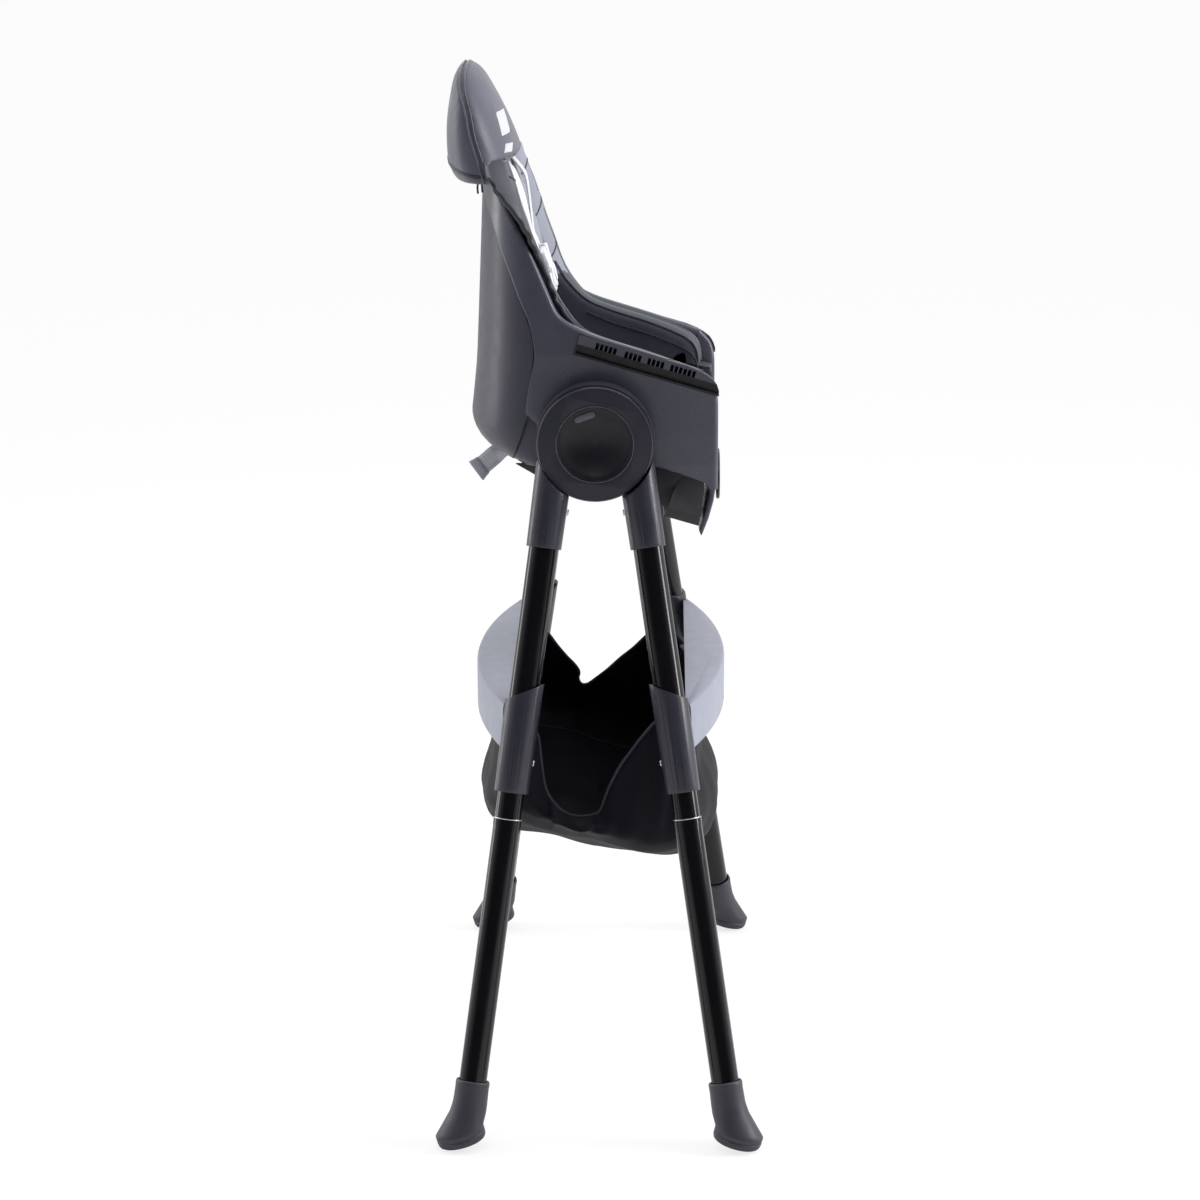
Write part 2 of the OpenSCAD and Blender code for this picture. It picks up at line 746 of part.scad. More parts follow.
// The stub's swaged end slides into the lower tube.
spigot_l = 40;
spigot_lap = 8;                                    // length swaged inside the stub
module stub(side, row) color([0.05, 0.05, 0.055]) {
  on_leg(side, row, lower_start - seat_gap)
    tube(stub_r, lower_start - seat_gap - stub_start);
  on_leg(side, row, lower_start + spigot_l)
    tube(lower_tube_r - tube_wall - tube_fit, spigot_l + spigot_lap);
}

function sole_at(row) = leg_at(row, sole_h);
module lower_tube(side, row) color([0.03, 0.03, 0.035]) {
  start = lower_start;
  end = sole_at(row) - boot_h + 26;
  on_leg(side, row, end)
    difference() {
      union() {
        cylinder(r = lower_tube_r, h = end - start);
        // rolled collar at the top
        translate([0, 0, end - start - collar_h])
          cylinder(r = lower_tube_r + 0.4, h = collar_h);
      }
      translate([0, 0, -1])
        cylinder(r = lower_tube_r - tube_wall, h = end - start + 2);
    }
}

// The sole lies flat once the legs are open, so folded it tips onto the toe.
module on_sole(side, row, h) {
  translate(leg_point(side, row, sole_at(row)))
    rotate([row * -open_angle, 0, 0])
      translate([0, row * sole_shift, h])
        scale([sole_w, sole_l, 1])
          children();
}

module boot(side, row) color([0.15, 0.16, 0.18]) {
  rim = sole_at(row) - boot_h;
  r = lower_tube_r + boot_wall;
  difference() {
    union() {
      hull() {
        on_leg(side, row, rim + 2)
          cylinder(r = r, h = 2, $fn = 32);
        on_leg(side, row, rim + 30)
          cylinder(r = r + 0.6, h = 2, $fn = 32);
      }
      hull() {
        on_leg(side, row, rim + 30)
          cylinder(r = r + 0.6, h = 2, $fn = 32);
        on_sole(side, row, 11)
          cylinder(r = 1, h = 1, $fn = 32);
      }
      hull() {
        on_sole(side, row, 11)
          cylinder(r = 1, h = 1, $fn = 32);
        on_sole(side, row, 0)
          cylinder(r = sole_round, h = 1, $fn = 32);
      }
    }
    on_leg(side, row, rim + 27)
      cylinder(r = lower_tube_r + tube_fit, h = 60);
  }
}

// ---- braces --------------------------------------------------------------

brace_x = 206;                                     // half span of a brace at its sleeves
brace_top = hub_h - brace_drop;                    // height of the deck
deck_back = 6;                                     // the deck's straight edge lies inside the sleeves by this
module brace(row) color([0.34, 0.35, 0.39]) {
  d = leg_at(row, brace_top - brace_h / 2);
  sleeve_y = row * leg_point(1, row, d)[1] + sleeve_r - 1;
  arc_r = (brace_x * brace_x + brace_bow * brace_bow) / (2 * brace_bow);
  difference() {
    translate([0, row * (sleeve_y + brace_bow - arc_r), brace_top - brace_h])
      difference() {
        rotate_extrude($fn = 360)
          polygon([[0, brace_h - brace_wall], [0, brace_h], [arc_r - 4, brace_h], [arc_r - 1.2, brace_h - 1.2],
                   [arc_r, brace_h - 4], [arc_r, 0], [arc_r - brace_wall, 0],
                   [arc_r - brace_wall, brace_h - brace_wall]]);
        // the deck ends in a straight edge between the legs
        translate([-900, row > 0 ? -1800 + arc_r - brace_bow - deck_back : deck_back + brace_bow - arc_r, -1])
          cube([1800, 1800, brace_h + 2]);
      }
    for (side = [-1, 1])
      on_leg(side, row, sleeve_end + 40) {
        cylinder(r = sleeve_r + seat_gap + 0.1, h = 300);
        translate([side > 0 ? 0 : -500, -300, 0])
          cube([500, 600, 400]);
      }
  }
}

// ---- screws --------------------------------------------------------------

// Small screws on the inner side of each socket and sleeve of one leg pair.
module leg_screws(row) color([0.75, 0.76, 0.78])
  for (side = [-1, 1]) {
    screw_head(side, row, screw_socket_at, socket_radius(screw_socket_at));
    screw_head(side, row, sleeve_end - screw_sleeve_up, sleeve_radius(screw_sleeve_up));
  }

screw_socket_at = 68;                              // distance along the leg
screw_sleeve_up = 30;                              // distance above the sleeve's foot
screw_r = 3;
screw_h = 1.6;
module screw_head(side, row, d, r)
  on_leg(side, row, d)
    translate([0, -row * (r + seat_gap + screw_h / 2), 0])
      rotate([90, 0, 0])
        cylinder(r = screw_r, h = screw_h, center = true);

// ---- storage basket ------------------------------------------------------

basket_rim = brace_top - brace_h - seat_gap;
basket_half = 122;                                 // fore and aft reach of the fabric in the middle
basket_waist = 27;                                 // it follows the bow of the braces inwards by this
basket_lift = 0.08;                                // the rear hangs less deep by this share,
basket_side_lift = 0.14;                           // and by this much more at the sides
function basket_reach(x) = basket_half - basket_waist * pow(x / basket_w, 2);
function basket_sag(x) = basket_depth * lookup(abs(x) / basket_w, [[0, 1], [0.5, 0.94], [0.82, 0.81], [1, 0.7]]);
function basket_z(x, y, drop) =
  basket_rim - drop * (1 - (basket_lift + basket_side_lift * pow(x / basket_w, 2)) * (y + 65) / 130);
function basket_ring(x, inset) =
  let (h = basket_reach(x) - inset, d = basket_sag(x) - inset, r = 0.42 * d)
    [for (p = concat([[h - 6, -1]],
      [for (a = [20:-10:-90]) [h * pow(max(0, cos(a)), 0.5), d - r - r * sin(a)]],
      [for (a = [-80:10:20]) [-h * pow(max(0, cos(a)), 0.5), d - r - r * sin(a)]],
      [[-h + 6, -1]])) [x, p[0], basket_z(x, p[0], p[1])]];
module basket_form(half, inset) {
  skin([for (k = [1, 0.82, 0.5, 0.25, 0, -0.25, -0.5, -0.82, -1]) basket_ring(k * half, inset)]);
}

module basket() color([0.04, 0.04, 0.05]) {
  difference() {
    intersection() {
      basket_form(basket_w, 0);
      // wider than the fabric, so that it cuts the rim only
      translate([-basket_w - 10, -200, 0])
        cube([2 * (basket_w + 10), 400, basket_rim]);
    }
    basket_form(basket_w - fabric_t, fabric_t);
    // the side hems droop in a rounded V
    side_prism(hem_cut, 300);
  }
}

hem_drop = 70;                                     // lowest point of a side hem below the rim
hem_cut = concat([[-200, basket_rim + 5], [-88, basket_rim + 5]],
  [for (p = [[-50, 0.08], [-30, 0.26], [-16, 0.6], [-6, 0.88], [4, 0.99], [14, 1], [26, 0.95],
             [36, 0.78], [44, 0.5], [50, 0.22], [58, 0]]) [p[0], basket_rim - hem_drop * p[1]]],
  [[80, basket_rim + 5], [200, basket_rim + 5]]);

// ---- assembly ------------------------------------------------------------

translate([0, hub_y, 0]) {
  seat_shell();
  rear_casing();
  seat_pan();
  front_apron();
  footrest_box();
  footrest_boss();
  under_rib();
  hub_axle(-1);  // hub_axle_left
  hub_axle(1);  // hub_axle_right
  tray_rail(-1);  // tray_rail_left
  tray_rail(1);  // tray_rail_right
  head_cover();
  back_pad();
  seat_pad();
  bolster(-1);  // bolster_left
  bolster(1);  // bolster_right
  shoulder_strap(-1);  // shoulder_strap_left
  shoulder_strap(1);  // shoulder_strap_right
  harness_buckle();
  waist_straps();
  crotch_strap();
  strap_tail();
  tail_adjuster();
  rear_socket(-1);  // rear_socket_left
  rear_socket(1);  // rear_socket_right
  hub_ring(-1);  // hub_ring_left
  hub_ring(1);  // hub_ring_right
  hub_dish(-1);  // hub_dish_left
  hub_dish(1);  // hub_dish_right
  release_button(-1);  // release_button_left
  release_button(1);  // release_button_right
  front_socket(-1);  // front_socket_left
  front_socket(1);  // front_socket_right
  upper_tube(-1, 1);  // rear_upper_tube_left
  upper_tube(1, 1);  // rear_upper_tube_right
  upper_tube(-1, -1);  // front_upper_tube_left
  upper_tube(1, -1);  // front_upper_tube_right
  sleeve(-1, 1);  // rear_sleeve_left
  sleeve(1, 1);  // rear_sleeve_right
  sleeve(-1, -1);  // front_sleeve_left
  sleeve(1, -1);  // front_sleeve_right
  brace(1);  // rear_brace
  brace(-1);  // front_brace
  stub(-1, 1);  // rear_stub_left
  stub(1, 1);  // rear_stub_right
  stub(-1, -1);  // front_stub_left
  stub(1, -1);  // front_stub_right
  lower_tube(-1, 1);  // rear_lower_tube_left
  lower_tube(1, 1);  // rear_lower_tube_right
  lower_tube(-1, -1);  // front_lower_tube_left
  lower_tube(1, -1);  // front_lower_tube_right
  boot(-1, 1);  // rear_boot_left
  boot(1, 1);  // rear_boot_right
  boot(-1, -1);  // front_boot_left
  boot(1, -1);  // front_boot_right
  leg_screws(1);  // rear_screws
  leg_screws(-1);  // front_screws
  basket();
}
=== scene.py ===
import bpy, bmesh, math, json
from mathutils import Vector, Matrix
from mathutils.bvhtree import BVHTree
from mathutils.kdtree import KDTree


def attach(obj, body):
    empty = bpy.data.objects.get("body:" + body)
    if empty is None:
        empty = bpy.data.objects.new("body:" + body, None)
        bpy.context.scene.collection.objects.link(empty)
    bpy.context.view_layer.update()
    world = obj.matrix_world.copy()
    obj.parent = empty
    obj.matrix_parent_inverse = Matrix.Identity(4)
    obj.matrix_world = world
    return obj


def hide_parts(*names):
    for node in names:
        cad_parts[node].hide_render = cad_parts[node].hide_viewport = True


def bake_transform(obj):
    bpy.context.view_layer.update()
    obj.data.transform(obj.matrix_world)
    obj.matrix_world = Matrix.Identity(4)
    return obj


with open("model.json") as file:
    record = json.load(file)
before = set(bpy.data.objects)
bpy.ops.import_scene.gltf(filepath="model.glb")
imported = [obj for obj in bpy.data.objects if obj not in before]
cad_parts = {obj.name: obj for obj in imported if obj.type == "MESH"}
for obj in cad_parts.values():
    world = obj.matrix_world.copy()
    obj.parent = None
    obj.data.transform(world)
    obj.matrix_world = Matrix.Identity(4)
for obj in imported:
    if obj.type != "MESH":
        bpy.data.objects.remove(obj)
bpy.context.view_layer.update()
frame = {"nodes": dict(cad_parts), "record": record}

parts = frame["nodes"]
bodyNodes = frame["record"]["behaviour"]["bodies"]

# The camera stands to the chair's left, above it, and looks along X and slightly down.
viewpoint = {
    "place": (-3.1795, -0.0612, 1.28106),
    "pitch": 0.25026, "yaw": 0.0205, "roll": -0.00349,
    "lens": 96.0, "sensor": 36.0,
}

def makeCamera(view):
    cam = bpy.data.cameras.new("sideCamera")
    cam.lens = view["lens"]
    cam.sensor_width = view["sensor"]
    cam.sensor_fit = "HORIZONTAL"
    obj = bpy.data.objects.new("sideCamera", cam)
    bpy.context.scene.collection.objects.link(obj)
    yaw, pitch = view["yaw"], view["pitch"]
    level = math.cos(pitch)
    ahead = Vector((level * math.cos(yaw), level * math.sin(yaw), -math.sin(pitch)))
    right = ahead.cross(Vector((0, 0, 1))).normalized()
    up = right.cross(ahead)
    c, s = math.cos(view["roll"]), math.sin(view["roll"])
    turn = Matrix((right * c + up * s, up * c - right * s, -ahead)).transposed().to_4x4()
    turn.translation = Vector(view["place"])
    obj.matrix_world = turn
    bpy.context.scene.camera = obj

makeCamera(viewpoint)

# Wires one node material; every texture reads object or UV coordinates.
class Shading:
    def __init__(self, name, colour, rough):
        self.mat = bpy.data.materials.new(name)
        self.mat.use_nodes = True
        self.tree = self.mat.node_tree
        self.shader = self.tree.nodes["Principled BSDF"]
        self.coords = self.tree.nodes.new("ShaderNodeTexCoord")
        self.bumps = None
        self.put("Base Color", (*colour, 1))
        self.put("Roughness", rough)

    def put(self, socket, value):
        self.shader.inputs[socket].default_value = value

    def node(self, kind, inputs=None, **settings):
        n = self.tree.nodes.new(kind)
        for k, v in settings.items():
            setattr(n, k, v)
        for k, v in (inputs or {}).items():
            if isinstance(v, bpy.types.NodeSocket):
                self.tree.links.new(v, n.inputs[k])
            else:
                n.inputs[k].default_value = v
        return n

    def noise(self, scale, detail=3, coords="Object", stretch=None):
        vec = self.coords.outputs[coords]
        if stretch:
            vec = self.node("ShaderNodeMapping", {"Vector": vec, "Scale": stretch}).outputs[0]
        n = self.node("ShaderNodeTexNoise", {"Vector": vec, "Scale": scale, "Detail": detail})
        return n.outputs["Fac"]

    def math(self, op, a, b=0.0, c=0.0):
        return self.node("ShaderNodeMath", {0: a, 1: b, 2: c}, operation=op).outputs[0]

    def spread(self, value, low, high, a=0.3, b=0.7):
        limits = {"From Min": a, "From Max": b, "To Min": low, "To Max": high}
        return self.node("ShaderNodeMapRange", {"Value": value, **limits}).outputs[0]

    def wave(self, direction, scale, **inputs):
        given = {"Vector": self.coords.outputs["UV"], "Scale": scale, **inputs}
        return self.node("ShaderNodeTexWave", given, bands_direction=direction).outputs["Fac"]

    def tint(self, value, dark, light):
        n = self.node("ShaderNodeMix", {"Factor": value}, data_type="RGBA")
        n.inputs[6].default_value = (*dark, 1)
        n.inputs[7].default_value = (*light, 1)
        return n.outputs[2]

    def link(self, value, socket):
        self.tree.links.new(value, self.shader.inputs[socket])

    def bump(self, height, depth, strength=1.0):
        n = self.node("ShaderNodeBump", {"Height": height, "Distance": depth, "Strength": strength})
        if self.bumps:
            self.tree.links.new(self.bumps, n.inputs["Normal"])
        self.bumps = n.outputs[0]
        self.tree.links.new(self.bumps, self.shader.inputs["Normal"])

def scaled(colour, k):
    return tuple(min(1.0, c * k) for c in colour)

def mouldedPlastic(name, colour, rough, grain=900, depth=0.00003, mottle=0.06, shine=0.5):
    s = Shading(name, colour, rough)
    s.link(s.tint(s.noise(14, 4), scaled(colour, 1 - mottle), scaled(colour, 1 + mottle)), "Base Color")
    s.link(s.spread(s.noise(60, 3), rough - 0.05, rough + 0.06), "Roughness")
    s.bump(s.noise(grain, 2), depth, 0.06)
    s.put("Specular IOR Level", shine)
    return s.mat

def glossPlastic(name, colour, rough):
    s = Shading(name, colour, rough)
    s.link(s.spread(s.noise(25, 4), rough, rough + 0.05), "Roughness")
    s.link(s.tint(s.noise(9), scaled(colour, 0.9), scaled(colour, 1.15)), "Base Color")
    s.bump(s.noise(180, 2), 0.000004, 0.4)
    s.put("Coat Weight", 0.6)
    s.put("Coat Roughness", 0.03)
    return s.mat

def paintedTube(name, colour, rough):
    s = Shading(name, colour, rough)
    s.link(s.spread(s.noise(70, 3, stretch=(1, 1, 0.15)), rough - 0.03, rough + 0.07), "Roughness")
    s.link(s.tint(s.noise(30, 2, stretch=(1, 1, 0.1)), scaled(colour, 0.8), scaled(colour, 1.25)), "Base Color")
    s.bump(s.noise(650, 2), 0.000008, 0.5)
    s.put("Specular IOR Level", 0.3)
    s.put("Coat Weight", 0.08)
    s.put("Coat Roughness", 0.06)
    return s.mat

def brushedSteel(name, colour):
    s = Shading(name, colour, 0.25)
    s.put("Metallic", 1.0)
    s.link(s.spread(s.noise(900, 2), 0.16, 0.36), "Roughness")
    s.bump(s.noise(1500, 1), 0.000006, 0.5)
    return s.mat

def softLeather(name, colour, rough, grain=1.0):
    s = Shading(name, colour, rough)
    cells = s.node("ShaderNodeTexVoronoi", {"Vector": s.coords.outputs["Object"], "Scale": 620 / grain},
                   feature="DISTANCE_TO_EDGE")
    s.link(s.tint(s.noise(11, 4), scaled(colour, 0.92), scaled(colour, 1.08)), "Base Color")
    s.link(s.spread(s.noise(40, 3), rough - 0.05, rough + 0.07), "Roughness")
    s.bump(s.noise(32, 3), 0.0005, 0.35)
    s.bump(s.spread(cells.outputs["Distance"], 0, 1, 0, 0.25), 0.00006, 0.55)
    s.put("Sheen Weight", 0.12)
    s.put("Sheen Roughness", 0.4)
    return s.mat

def webbing(name, colour, rough, pitch=0.0016):
    s = Shading(name, colour, rough)
    across, along = [s.wave(way, 0.16 / pitch, Distortion=0.3) for way in "XY"]
    weave = s.math("MAXIMUM", across, s.math("MULTIPLY", along, 0.7))
    s.link(s.tint(weave, scaled(colour, 0.72), colour), "Base Color")
    s.bump(weave, 0.0003, 0.8)
    s.put("Sheen Weight", 0.2)
    return s.mat

def wovenFabric(name, colour, rough, pitch=0.0011):
    s = Shading(name, colour, rough)
    warp, weft = [s.wave(way, 0.16 / pitch, Distortion=0.5, Detail=1) for way in "XY"]
    weave = s.math("MULTIPLY", warp, weft)
    s.link(s.tint(s.noise(16, 4), scaled(colour, 0.8), scaled(colour, 1.3)), "Base Color")
    s.link(s.spread(weave, rough - 0.1, rough + 0.08, 0, 1), "Roughness")
    s.bump(s.noise(24, 4), 0.002, 0.25)
    s.bump(weave, 0.00012, 0.6)
    s.put("Specular IOR Level", 0.08)
    s.put("Sheen Weight", 0.01)
    s.put("Sheen Roughness", 0.5)
    return s.mat

# The rail's insert is dark in its groove and the shell's grey on its upper outside.
rail = {"angle": 16.4, "middle": (-52.9, 69.5), "half": (74, 10), "gap": 0.4, "inner": 121, "outer": 140}

def trayRailPlastic(name, dark, light, rough):
    s = Shading(name, dark, rough)
    place = s.coords.outputs["Object"]
    local = s.node("ShaderNodeMapping", {"Vector": place, "Location": (0, 0.0479, -0.7345)})
    turned = s.node("ShaderNodeMapping", {"Vector": local.outputs[0],
                                          "Rotation": (-math.radians(rail["angle"]), 0, 0)})
    height = s.node("ShaderNodeSeparateXYZ", {"Vector": turned.outputs[0]}).outputs["Z"]
    upper = s.math("GREATER_THAN", height, 0.0006)
    across = s.node("ShaderNodeSeparateXYZ", {"Vector": place}).outputs["X"]
    outside = s.math("GREATER_THAN", s.math("ABSOLUTE", across), 0.1274)
    s.link(s.tint(s.math("MULTIPLY", upper, outside), dark, light), "Base Color")
    s.link(s.spread(s.noise(60), rough - 0.05, rough + 0.05), "Roughness")
    s.bump(s.noise(900, 2), 0.00002, 0.5)
    return s.mat

shellGrey = (0.066, 0.066, 0.094)
finishes = {
    "shell": mouldedPlastic("shellPlastic", shellGrey, 0.30, 700, 0.00004),
    "casing": mouldedPlastic("casingPlastic", (0.050, 0.049, 0.070), 0.42, 900, 0.00002, 0.04, 0.35),
    "black": mouldedPlastic("blackPlastic", (0.015, 0.0145, 0.021), 0.42, 800),
    "joint": mouldedPlastic("jointPlastic", (0.028, 0.028, 0.042), 0.32, 800, 0.00003),
    "boot": mouldedPlastic("bootRubber", (0.036, 0.036, 0.050), 0.48, 700, 0.00005),
    "hubRing": mouldedPlastic("hubRingPlastic", (0.024, 0.023, 0.037), 0.4, 1200, 0.00001, 0.04, 0.3),
    "dish": mouldedPlastic("hubDishPlastic", (0.010, 0.0095, 0.015), 0.42, 1200, 0.00001, 0.04, 0.3),
    "button": mouldedPlastic("buttonPlastic", (0.085, 0.087, 0.105), 0.35, 1100),
    "tube": paintedTube("tubePaint", (0.0035, 0.0035, 0.0055), 0.11),
    "steel": brushedSteel("screwSteel", (0.72, 0.72, 0.74)),
    "brace": mouldedPlastic("bracePlastic", (0.30, 0.315, 0.39), 0.45, 500, 0.00008, 0.05),
    "cover": softLeather("darkCover", (0.082, 0.085, 0.121), 0.44),
    "bolster": softLeather("bolsterCover", (0.052, 0.057, 0.076), 0.40),
    "panel": softLeather("panelCover", (0.27, 0.285, 0.35), 0.46),
    # Dark cloth of the bindings, band and elastics; it also paints the shade in the seams' creases.
    "trim": softLeather("bindingTrimAndSeamShade", (0.020, 0.020, 0.028), 0.5, 0.6),
    "white": webbing("whiteWebbing", (0.86, 0.87, 0.9), 0.7),
    "tail": webbing("greyWebbing", (0.55, 0.56, 0.62), 0.7),
    "buckle": mouldedPlastic("bucklePlastic", (0.82, 0.83, 0.86), 0.32, 1200),
    "adjuster": mouldedPlastic("adjusterPlastic", (0.34, 0.35, 0.40), 0.4, 1000),
    "basket": wovenFabric("basketWeave", (0.0085, 0.008, 0.0125), 0.62),
    # The hems and seams are the basket's own cloth, coloured lighter: a painted highlight along them.
    "hem": wovenFabric("hemWeavePaintedHighlight", (0.045, 0.044, 0.062), 0.6, 0.0008),
    "patch": mouldedPlastic("labelBacking", (0.62, 0.62, 0.66), 0.5, 400, 0.00005, 0.03),
    "rail": trayRailPlastic("railPlastic", (0.008, 0.008, 0.010), shellGrey, 0.42),
    "lip": glossPlastic("hubLipPlastic", (0.03, 0.03, 0.04), 0.1),
    "piping": softLeather("pipingCover", (0.10, 0.105, 0.135), 0.4, 0.6),
    "thread": mouldedPlastic("seamThread", (0.13, 0.135, 0.16), 0.6, 1500),
}

# Lengths below are millimetres from the middle of the hub axis; pieces are stored in metres.
origin = Vector((0, 0.005, 0.665))

def at(x, y, z):
    return origin + Vector((x, y, z)) * 0.001

def inMm(p):
    return (p - origin) * 1000

def turns(count, extra=0):
    return [2 * math.pi * k / count for k in range(count + extra)]

def squarer(value, power):
    return math.copysign(abs(value) ** power, value)

def smoothFaces(mesh):
    mesh.polygons.foreach_set("use_smooth", [True] * len(mesh.polygons))

def lookup(z, table):
    if z <= table[0][0]:
        return table[0][1]
    for (a, va), (b, vb) in zip(table, table[1:]):
        if z <= b:
            return va + (vb - va) * (z - a) / (b - a)
    return table[-1][1]

def smoothLookup(z, table):
    n = len(table)
    if z <= table[0][0]:
        return table[0][1]
    for i in range(n - 1):
        a, b = table[i], table[i + 1]
        if z <= b[0]:
            p, q = table[max(i - 1, 0)], table[min(i + 2, n - 1)]
            h = b[0] - a[0]
            t = (z - a[0]) / h
            ma = (b[1] - p[1]) / max(b[0] - p[0], 1e-6) * h
            mb = (q[1] - a[1]) / max(q[0] - a[0], 1e-6) * h
            return ((2 * t**3 - 3 * t * t + 1) * a[1] + (t**3 - 2 * t * t + t) * ma
                    + (3 * t * t - 2 * t**3) * b[1] + (t**3 - t * t) * mb)
    return table[-1][1]

def newPiece(name, mesh, material, body, replaces=(), sharp=40):
    obj = bpy.data.objects.new(name, mesh)
    bpy.context.scene.collection.objects.link(obj)
    if material:
        mesh.materials.clear()
        mesh.materials.append(material)
    smoothFaces(mesh)
    mesh.set_sharp_from_angle(angle=math.radians(sharp))
    if body:
        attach(obj, body)
    if replaces:
        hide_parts(*replaces)
    return obj

def fromBmesh(bm, name, material, body, replaces=(), sharp=40, outward=True):
    if outward:
        bmesh.ops.recalc_face_normals(bm, faces=bm.faces)
    mesh = bpy.data.meshes.new(name)
    bm.to_mesh(mesh)
    bm.free()
    return newPiece(name, mesh, material, body, replaces, sharp)

# Skins a grid of points; UVs run in metres along the rows and across them.
def gridInto(bm, rows, loop=False, ends=False, mirror=False):
    uv = bm.loops.layers.uv.verify()
    rows = [[Vector(p) for p in row] for row in rows]
    if mirror:
        rows = [[Vector((-p.x, p.y, p.z)) for p in row] for row in rows]
    m, n = len(rows), len(rows[0])
    verts = [[bm.verts.new(at(*p)) for p in row] for row in rows]
    mid = rows[m // 2] + ([rows[m // 2][0]] if loop else [])
    u = [0.0]
    for a, b in zip(mid, mid[1:]):
        u.append(u[-1] + (b - a).length * 0.001)
    v = [0.0]
    for i in range(1, m):
        step = max((rows[i][j] - rows[i - 1][j]).length for j in (0, n // 4, n // 2))
        v.append(v[-1] + step * 0.001)
    for i in range(m - 1):
        for j in range(n if loop else n - 1):
            k = (j + 1) % n
            corners = [(i, j, j), (i, k, j + 1), (i + 1, k, j + 1), (i + 1, j, j)]
            face = bm.faces.new([verts[r][c] for r, c, _ in corners])
            for loopCorner, (r, _, c) in zip(face.loops, corners):
                loopCorner[uv].uv = (u[c], v[r])
    if ends:
        bm.faces.new(list(reversed(verts[0])))
        bm.faces.new(verts[-1])
    return verts

def gridPiece(name, rows, material, body, replaces=(), loop=False, ends=False, both=False, sharp=40):
    bm = bmesh.new()
    gridInto(bm, rows, loop, ends)
    if both:
        gridInto(bm, rows, loop, ends, True)
    return fromBmesh(bm, name, material, body, replaces, sharp)

def catmull(points, steps):
    out = []
    n = len(points)
    for i in range(n - 1):
        p = [Vector(points[max(0, min(n - 1, i + k))]) for k in (-1, 0, 1, 2)]
        for s in range(steps):
            t = s / steps
            out.append(0.5 * (2 * p[1] + (p[2] - p[0]) * t
                              + (2 * p[0] - 5 * p[1] + 4 * p[2] - p[3]) * t * t
                              + (3 * p[1] - p[0] - 3 * p[2] + p[3]) * t**3))
    out.append(Vector(points[-1]))
    return out

def tubeRows(path, radius, sides):
    path = [Vector(p) for p in path]
    rows = []
    normal = None
    for i, p in enumerate(path):
        ahead = (path[min(i + 1, len(path) - 1)] - path[max(i - 1, 0)]).normalized()
        if normal is None:
            normal = ahead.orthogonal().normalized()
        normal = (normal - ahead * normal.dot(ahead)).normalized()
        side = ahead.cross(normal)
        rows.append([p + (normal * math.cos(a) + side * math.sin(a)) * radius for a in turns(sides)])
    return rows

def tubePiece(name, paths, radius, material, body, sides=10):
    bm = bmesh.new()
    for path in paths:
        gridInto(bm, tubeRows(path, radius, sides), loop=True, ends=True)
    return fromBmesh(bm, name, material, body)

def mirrored(path):
    return [Vector((-p[0], p[1], p[2])) for p in path]

# A solid taken from a CAD node, with its hard edges rounded over.
def softened(node, material, width, segments=2):
    bm = bmesh.new()
    bm.from_mesh(parts[node].data)
    bmesh.ops.remove_doubles(bm, verts=bm.verts, dist=0.00001)
    bmesh.ops.dissolve_limit(bm, angle_limit=math.radians(1), verts=bm.verts, edges=bm.edges)
    hard = [e for e in bm.edges if len(e.link_faces) == 2 and e.calc_face_angle(0) > math.radians(28)]
    bmesh.ops.bevel(bm, geom=hard, offset=width * 0.001, segments=segments, profile=0.5,
                    affect="EDGES", clamp_overlap=True)
    words = node.split("_")
    piece = words[0] + "".join(w.capitalize() for w in words[1:]) + "Rounded"
    body = next(b for b, names in bodyNodes.items() if node in names)
    return fromBmesh(bm, piece, material, body, (node,), 30, False)

def dress(names, material):
    for n in names:
        for slot in parts[n].material_slots:
            slot.material = material

def evaluated(obj):
    graph = bpy.context.evaluated_depsgraph_get()
    mesh = bpy.data.meshes.new_from_object(obj.evaluated_get(graph))
    obj.modifiers.clear()
    obj.data = mesh
    return obj

# Swells a closed piece as stuffed fabric does, at most by cap; points near a seam stay put.
def inflate(obj, held, voxel, pressure, cap, frames=20):
    remesh = obj.modifiers.new("even", "REMESH")
    remesh.mode = "VOXEL"
    remesh.voxel_size = voxel * 0.001
    evaluated(obj)
    rest = [v.co.copy() for v in obj.data.vertices]
    group = obj.vertex_groups.new(name="held")
    for i, p in enumerate(rest):
        w = held(inMm(p))
        if w > 0:
            group.add([i], min(1.0, w), "REPLACE")
    cloth = obj.modifiers.new("cloth", "CLOTH")
    c = cloth.settings
    c.use_pressure = True
    c.uniform_pressure_force = pressure
    c.effector_weights.gravity = 0
    c.quality = 6
    c.mass = 0.3
    c.tension_stiffness = c.compression_stiffness = 12
    c.shear_stiffness = 6
    c.bending_stiffness = 1.0
    c.vertex_group_mass = "held"
    cloth.point_cache.frame_start = 1
    cloth.point_cache.frame_end = frames
    for f in range(1, frames + 1):
        bpy.context.scene.frame_set(f)
    evaluated(obj)
    for v, r in zip(obj.data.vertices, rest):
        d = v.co - r
        if d.length > cap * 0.001:
            v.co = r + d.normalized() * cap * 0.001
    bpy.context.scene.frame_set(1)
    sub = obj.modifiers.new("smooth", "SUBSURF")
    sub.levels = sub.render_levels = 1
    evaluated(obj)
    smoothFaces(obj.data)
    return obj

print("stage: tools ready")

# Upper edge of an arm as (height, run from the front), and the seam behind it as (height, depth).
edgeProfile = [(40, 0), (53, 6), (65, 19), (83, 72), (97, 116), (106, 137), (113, 149), (122, 157), (142, 166),
               (165, 176), (187, 186.5), (210, 199), (233, 213), (240, 217)]
seamProfile = [(15, 58), (17, 64), (20, 67), (26, 68), (50, 64.5), (74, 59.5), (88, 60), (109, 64),
               (132, 73.5), (156, 83), (193, 98), (242, 113.5)]

